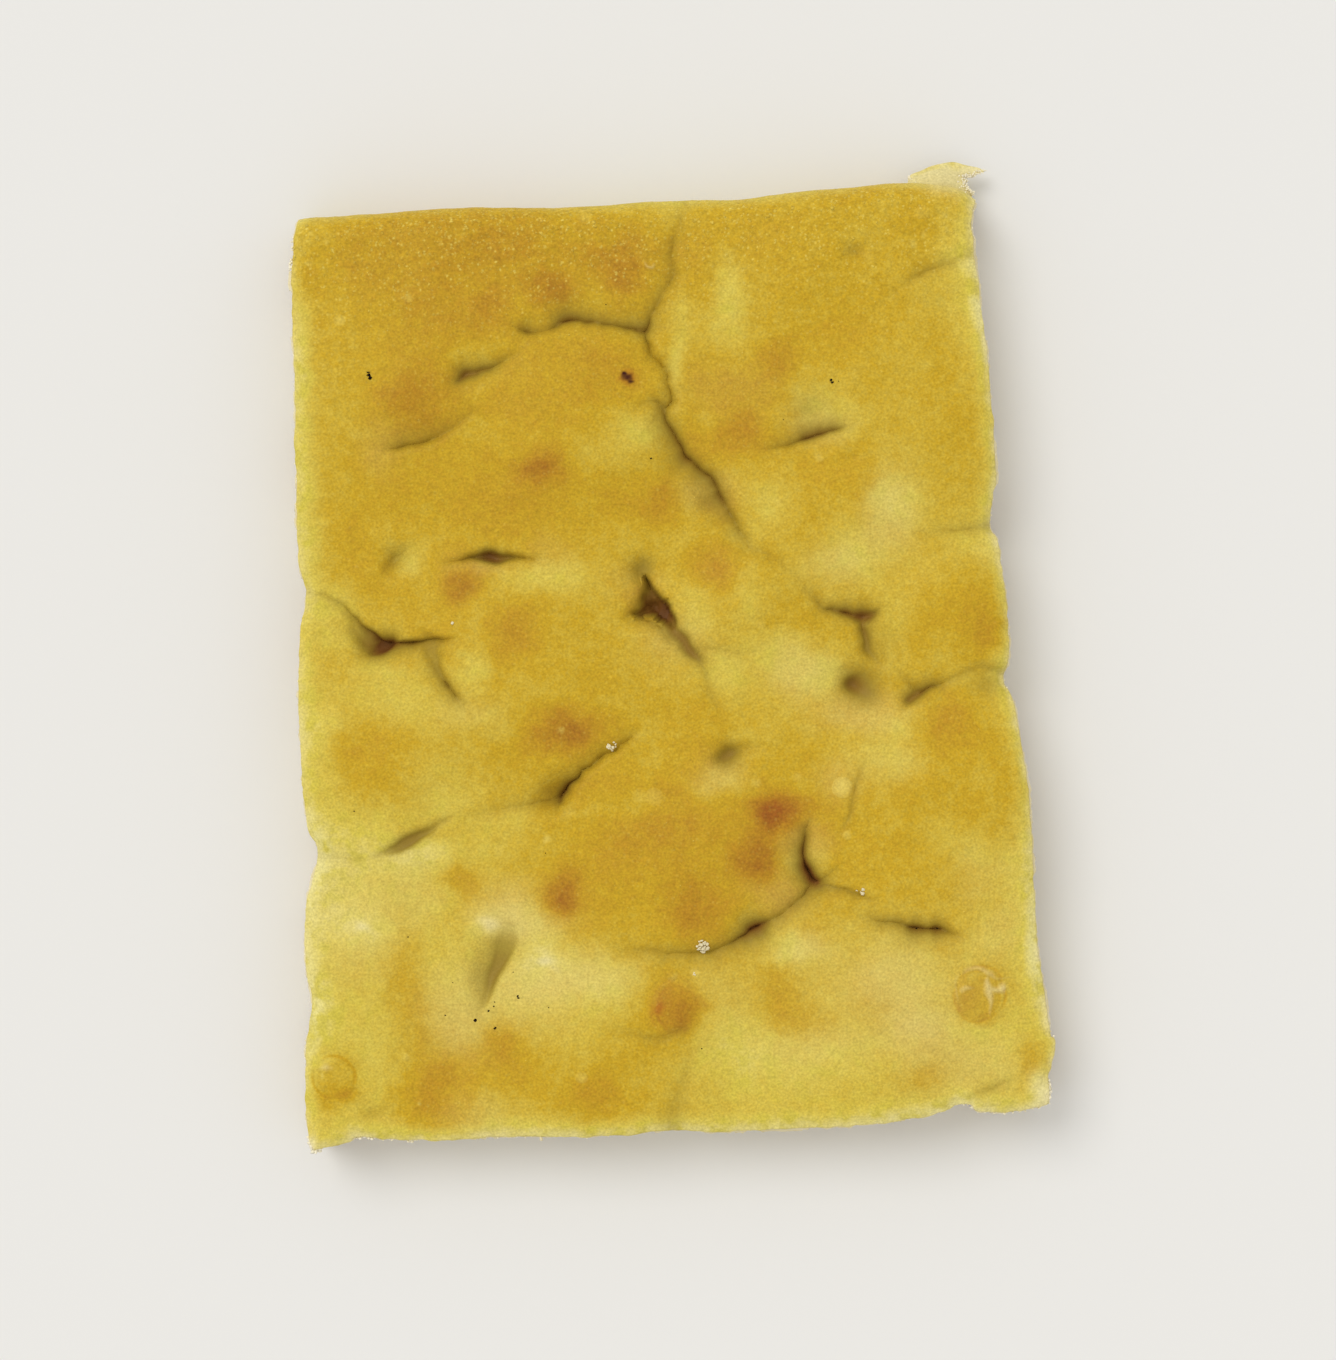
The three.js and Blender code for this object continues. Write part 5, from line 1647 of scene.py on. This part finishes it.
def makeLooseCrumbs(made, tree, material):
    rng = np.random.default_rng(lumpLook["seed"])
    rows = []
    for cx, cy, reach, count, smallest, largest in crumbHeaps:
        angle, share = rng.random(count) * math.tau, np.sqrt(rng.random(count))
        size = smallest + (largest - smallest) * rng.random(count) ** 1.5
        x, y = cx + reach * share * np.cos(angle), cy + reach * share * np.sin(angle)
        heaped = lumpLook["heap"] * np.clip(1 - share, 0, 1) * (count > lumpLook["largeHeap"])
        rows.append(np.column_stack([x, y, size * lumpLook["lift"] + heaped, size]))
    x, y, lift, size = np.vstack(rows).T
    piece = addDots("looseCrumbs", np.column_stack([x, y, onCrust(made, x, y) + lift]), {"size": size})
    return runTree(piece, tree, lumpValues(material))


def makeCharSpecks(made, tree, material):
    x, y, size = np.array(specks).T
    height = onCrust(made, x, y) + lumpLook["speckLift"]
    piece = addDots("charSpecks", np.column_stack([x, y, height]), {"size": size})
    return runTree(piece, tree, lumpValues(material, lumpLook["speckFlatness"]))


def makeCrumbFringe(path, material):
    line = evenly(path, int(lengthOf(path) / 0.5))
    out = -smoothRing(outwardOf(line[:, :2]), 2)
    out[0], out[-1] = out[2], out[-3]
    full = np.clip(tornCut["plainFull"] * (1 + 1.4 * noiseAt(line[:, 0], line[:, 1], 7, 131)), 0, 1)
    size = np.full(len(line), tornCut["plainRadius"])
    away = np.full(len(line), -tornCut["plainReach"])
    for cx, cy, half, share, radius, reach in tornStretches:
        near = np.exp(-((np.hypot(line[:, 0] - cx, line[:, 1] - cy) / half) ** 4))
        full, size = np.maximum(full, share * near), np.maximum(size, radius * near)
        away = np.maximum(away, reach * near - tornCut["plainReach"] * (1 - near))
    line[:, :2] -= out * away[:, None]
    line[:, 2] -= tornCut["below"]
    # the flap's torn ends are more lines, thinner further in
    breaks, count = {len(line)}, tornFlap["shredSteps"]
    tornEnd, start = tornFlap["end"][1:], tornFlap["start"]
    ends = [(tornEnd, "endHeights", -inset, lift, share) for inset, lift, share in tornFlap["fringe"]]
    ends += [(start, "startHeights", inset, 0, 0.9) for inset in (0.1, 0.5, 0.9)]
    for corners, heights, inset, lift, share in ends:
        more = evenly(np.array(corners), count)
        height = np.linspace(*tornFlap[heights], count)
        line = np.vstack([line, np.column_stack([more[:, 0] + inset, more[:, 1], height + lift])])
        full = np.concatenate([full, np.full(count, share)])
        size = np.concatenate([size, np.linspace(*tornFlap["shredSizes"], count)])
        breaks.add(len(line))
    steps = [(k, k + 1) for k in range(len(line) - 1) if k + 1 not in breaks]
    piece = addDots("crumbFringe", line, {"full": full, "size": size}, steps)
    spread = tornCut["spread"] * metre
    return runTree(piece, lumpsAlongCutTree(), {
        "Step": tornCut["step"] * metre, "Spread": (spread, spread, spread * 2), "Seed": tornCut["seed"],
        **lumpValues(material),
    })


# Charred flour from the oven floor. It gives small dead-black specks.
charLook = {"tone": "#1c120c", "roughness": 0.7, "specular": 0.05}


def makeCharMaterial():
    material, tree = startMaterial("charredFlour")
    shader = addNode(tree, "ShaderNodeBsdfPrincipled", {
        "Base Color": colourOf(charLook["tone"]), "Roughness": charLook["roughness"],
        "Specular IOR Level": charLook["specular"],
    })
    addNode(tree, "ShaderNodeOutputMaterial", {"Surface": shader})
    return material


print("crumb: cutting the cells")
crumbMaterial = makeCrumbMaterial("openBreadCrumb", crumbLook)
tornMaterial = makeCrumbMaterial("tornBreadCrumb", tornLook)
cutLine = cutPath(topGrid)
crumb = makeCrumb(topGrid, cutLine, crumbMaterial)
print("crumbs and specks: scattering")
lumpTree = lumpsOnPointsTree()
looseCrumbs = makeLooseCrumbs(foldSet, lumpTree, crumbMaterial)
charSpecks = makeCharSpecks(foldSet, lumpTree, makeCharMaterial())
crumbFringe = makeCrumbFringe(cutLine, tornMaterial)


baseShape = {
    "columns": 90,
    "rows": 115,
    "relief": [(0.2, 6, 111), (0.15, 2.4, 112)],  # height, size and seed
    "lowest": 0.12,
    "highest": 0.5,
    "wave": (0.25, 5, 113),
    # inset at the back, inset at the cuts, height, from the underside's edge inwards
    "edge": (2.2, 0.4, 0.15),
    "profile": [(1.9, -0.45, 0.5), (2.0, -0.45, 0.95), (2.4, 0.1, 1.5), (5, 5, 1.6)],
}


def makeBase(material):
    # the underside's sheet, turned up round its edge and closed inside the bread
    look = baseShape
    across, back = np.meshgrid(np.linspace(0, 1, look["columns"]), np.linspace(0, 1, look["rows"]))
    plan = planPoint(across, back).reshape(-1, 2)
    relief = sum(amount * noiseAt(*plan.T, size, seed) for amount, size, seed in look["relief"])
    sheet = np.column_stack([plan, np.clip(look["lowest"] + relief, 0, look["highest"])])
    ring = boundaryRing(*across.shape)
    behind = ring >= (look["rows"] - 1) * look["columns"]
    edge = sheet[ring]
    inward = -smoothRing(outwardOf(edge[:, :2]), 2)
    amount, size, seed = look["wave"]
    wave = amount * noiseAt(*edge[:, :2].T, size, seed)
    backInset, cutInset, sheet[ring, 2] = look["edge"]
    sheet[ring, :2] += inward * np.where(behind, backInset, cutInset)[:, None]
    rings, rows = [ring], [sheet]
    for backInset, cutInset, height in look["profile"]:
        rings.append(len(sheet) + (len(rings) - 1) * len(ring) + np.arange(len(ring)))
        inset = np.where(behind, backInset, cutInset)
        rows.append(movedRing(edge, inward, inset, height + wave * min(height, 1)))
    stacked = np.vstack(rows + [[[0, 0, look["profile"][-1][2]]]])
    faces = [gridFaces(*across.shape)[:, ::-1]]
    faces += [ringFaces(upper, lower) for lower, upper in zip(rings[:-1], rings[1:])]
    faces.append(fanFaces(rings[-1], len(stacked) - 1, up=True))
    return addMesh("baseCrust", stacked, faces, material)


print("underside: frying the base")
baseCrust = makeBase(makeBaseMaterial())

slotOf = {
    crust: "crust", blisterSkins: "crust", pinheadBlisters: "crust", flapPiece: "crust", charSpecks: "crust",
    crumb: "crumb", looseCrumbs: "crumb", crumbFringe: "crumb", baseCrust: "base_crust",
}
for piece, slotName in slotOf.items():
    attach(piece, "root")
    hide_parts("focaccia")


studio = {
    "floorSize": 3.0,
    "floorTone": "#e8e6e1",
    "floorGap": 0.0002,
    "skyStrength": 0.763,
    "keyStrength": 1.07,
    "keySoftness": 34.0,
    "keyAzimuth": 135.0,
    "keyElevation": 52.0,
    "lens": 90.0,
    "sensor": 36.0,
    "frameHeight": 292.4,  # millimetres seen from top to bottom of the picture, at the crust
    "centreX": -0.97,
    "centreY": -4.73,
}


def makeFloor():
    half = studio["floorSize"] / 2
    mesh = bpy.data.meshes.new("floor")
    corners = [(-half, -half, 0), (half, -half, 0), (half, half, 0), (-half, half, 0)]
    mesh.from_pydata(corners, [], [(0, 1, 2, 3)])
    floor = bpy.data.objects.new("floor", mesh)
    floor.location.z = slabLow[2] - studio["floorGap"]
    bpy.context.scene.collection.objects.link(floor)
    material, tree = startMaterial("paleFloor")
    shader = addNode(tree, "ShaderNodeBsdfPrincipled", {
        "Base Color": colourOf(studio["floorTone"]), "Roughness": 0.9,
    })
    addNode(tree, "ShaderNodeOutputMaterial", {"Surface": shader})
    mesh.materials.append(material)


def makeLights():
    world = bpy.data.worlds.new("softRoom")
    world.use_nodes = True
    sky = world.node_tree.nodes["Background"].inputs
    sky["Color"].default_value = (1, 1, 1, 1)
    sky["Strength"].default_value = studio["skyStrength"]
    bpy.context.scene.world = world
    key = bpy.data.lights.new("keyLight", "SUN")
    key.energy = studio["keyStrength"]
    key.angle = math.radians(studio["keySoftness"])
    keyObject = bpy.data.objects.new("keyLight", key)
    azimuth, elevation = math.radians(studio["keyAzimuth"]), math.radians(studio["keyElevation"])
    keyObject.rotation_euler = (math.pi / 2 - elevation, 0, azimuth + math.pi / 2)
    bpy.context.scene.collection.objects.link(keyObject)


def makeCamera():
    # straight down over the crust
    camera = bpy.data.cameras.new("overhead")
    camera.lens = studio["lens"]
    camera.sensor_width = studio["sensor"]
    camera.clip_end = 10
    overhead = bpy.data.objects.new("overhead", camera)
    overhead.location = (
        (studio["centreX"] + planShift[0]) * metre,
        (studio["centreY"] + planShift[1]) * metre,
        slabLow[2] + (slab["bodyHeight"] + studio["frameHeight"] * studio["lens"] / studio["sensor"]) * metre,
    )
    bpy.context.scene.collection.objects.link(overhead)
    bpy.context.scene.camera = overhead


print("studio: setting the floor, lights and camera")
makeFloor()
makeLights()
makeCamera()
bpy.context.scene.view_settings.view_transform = "Standard"
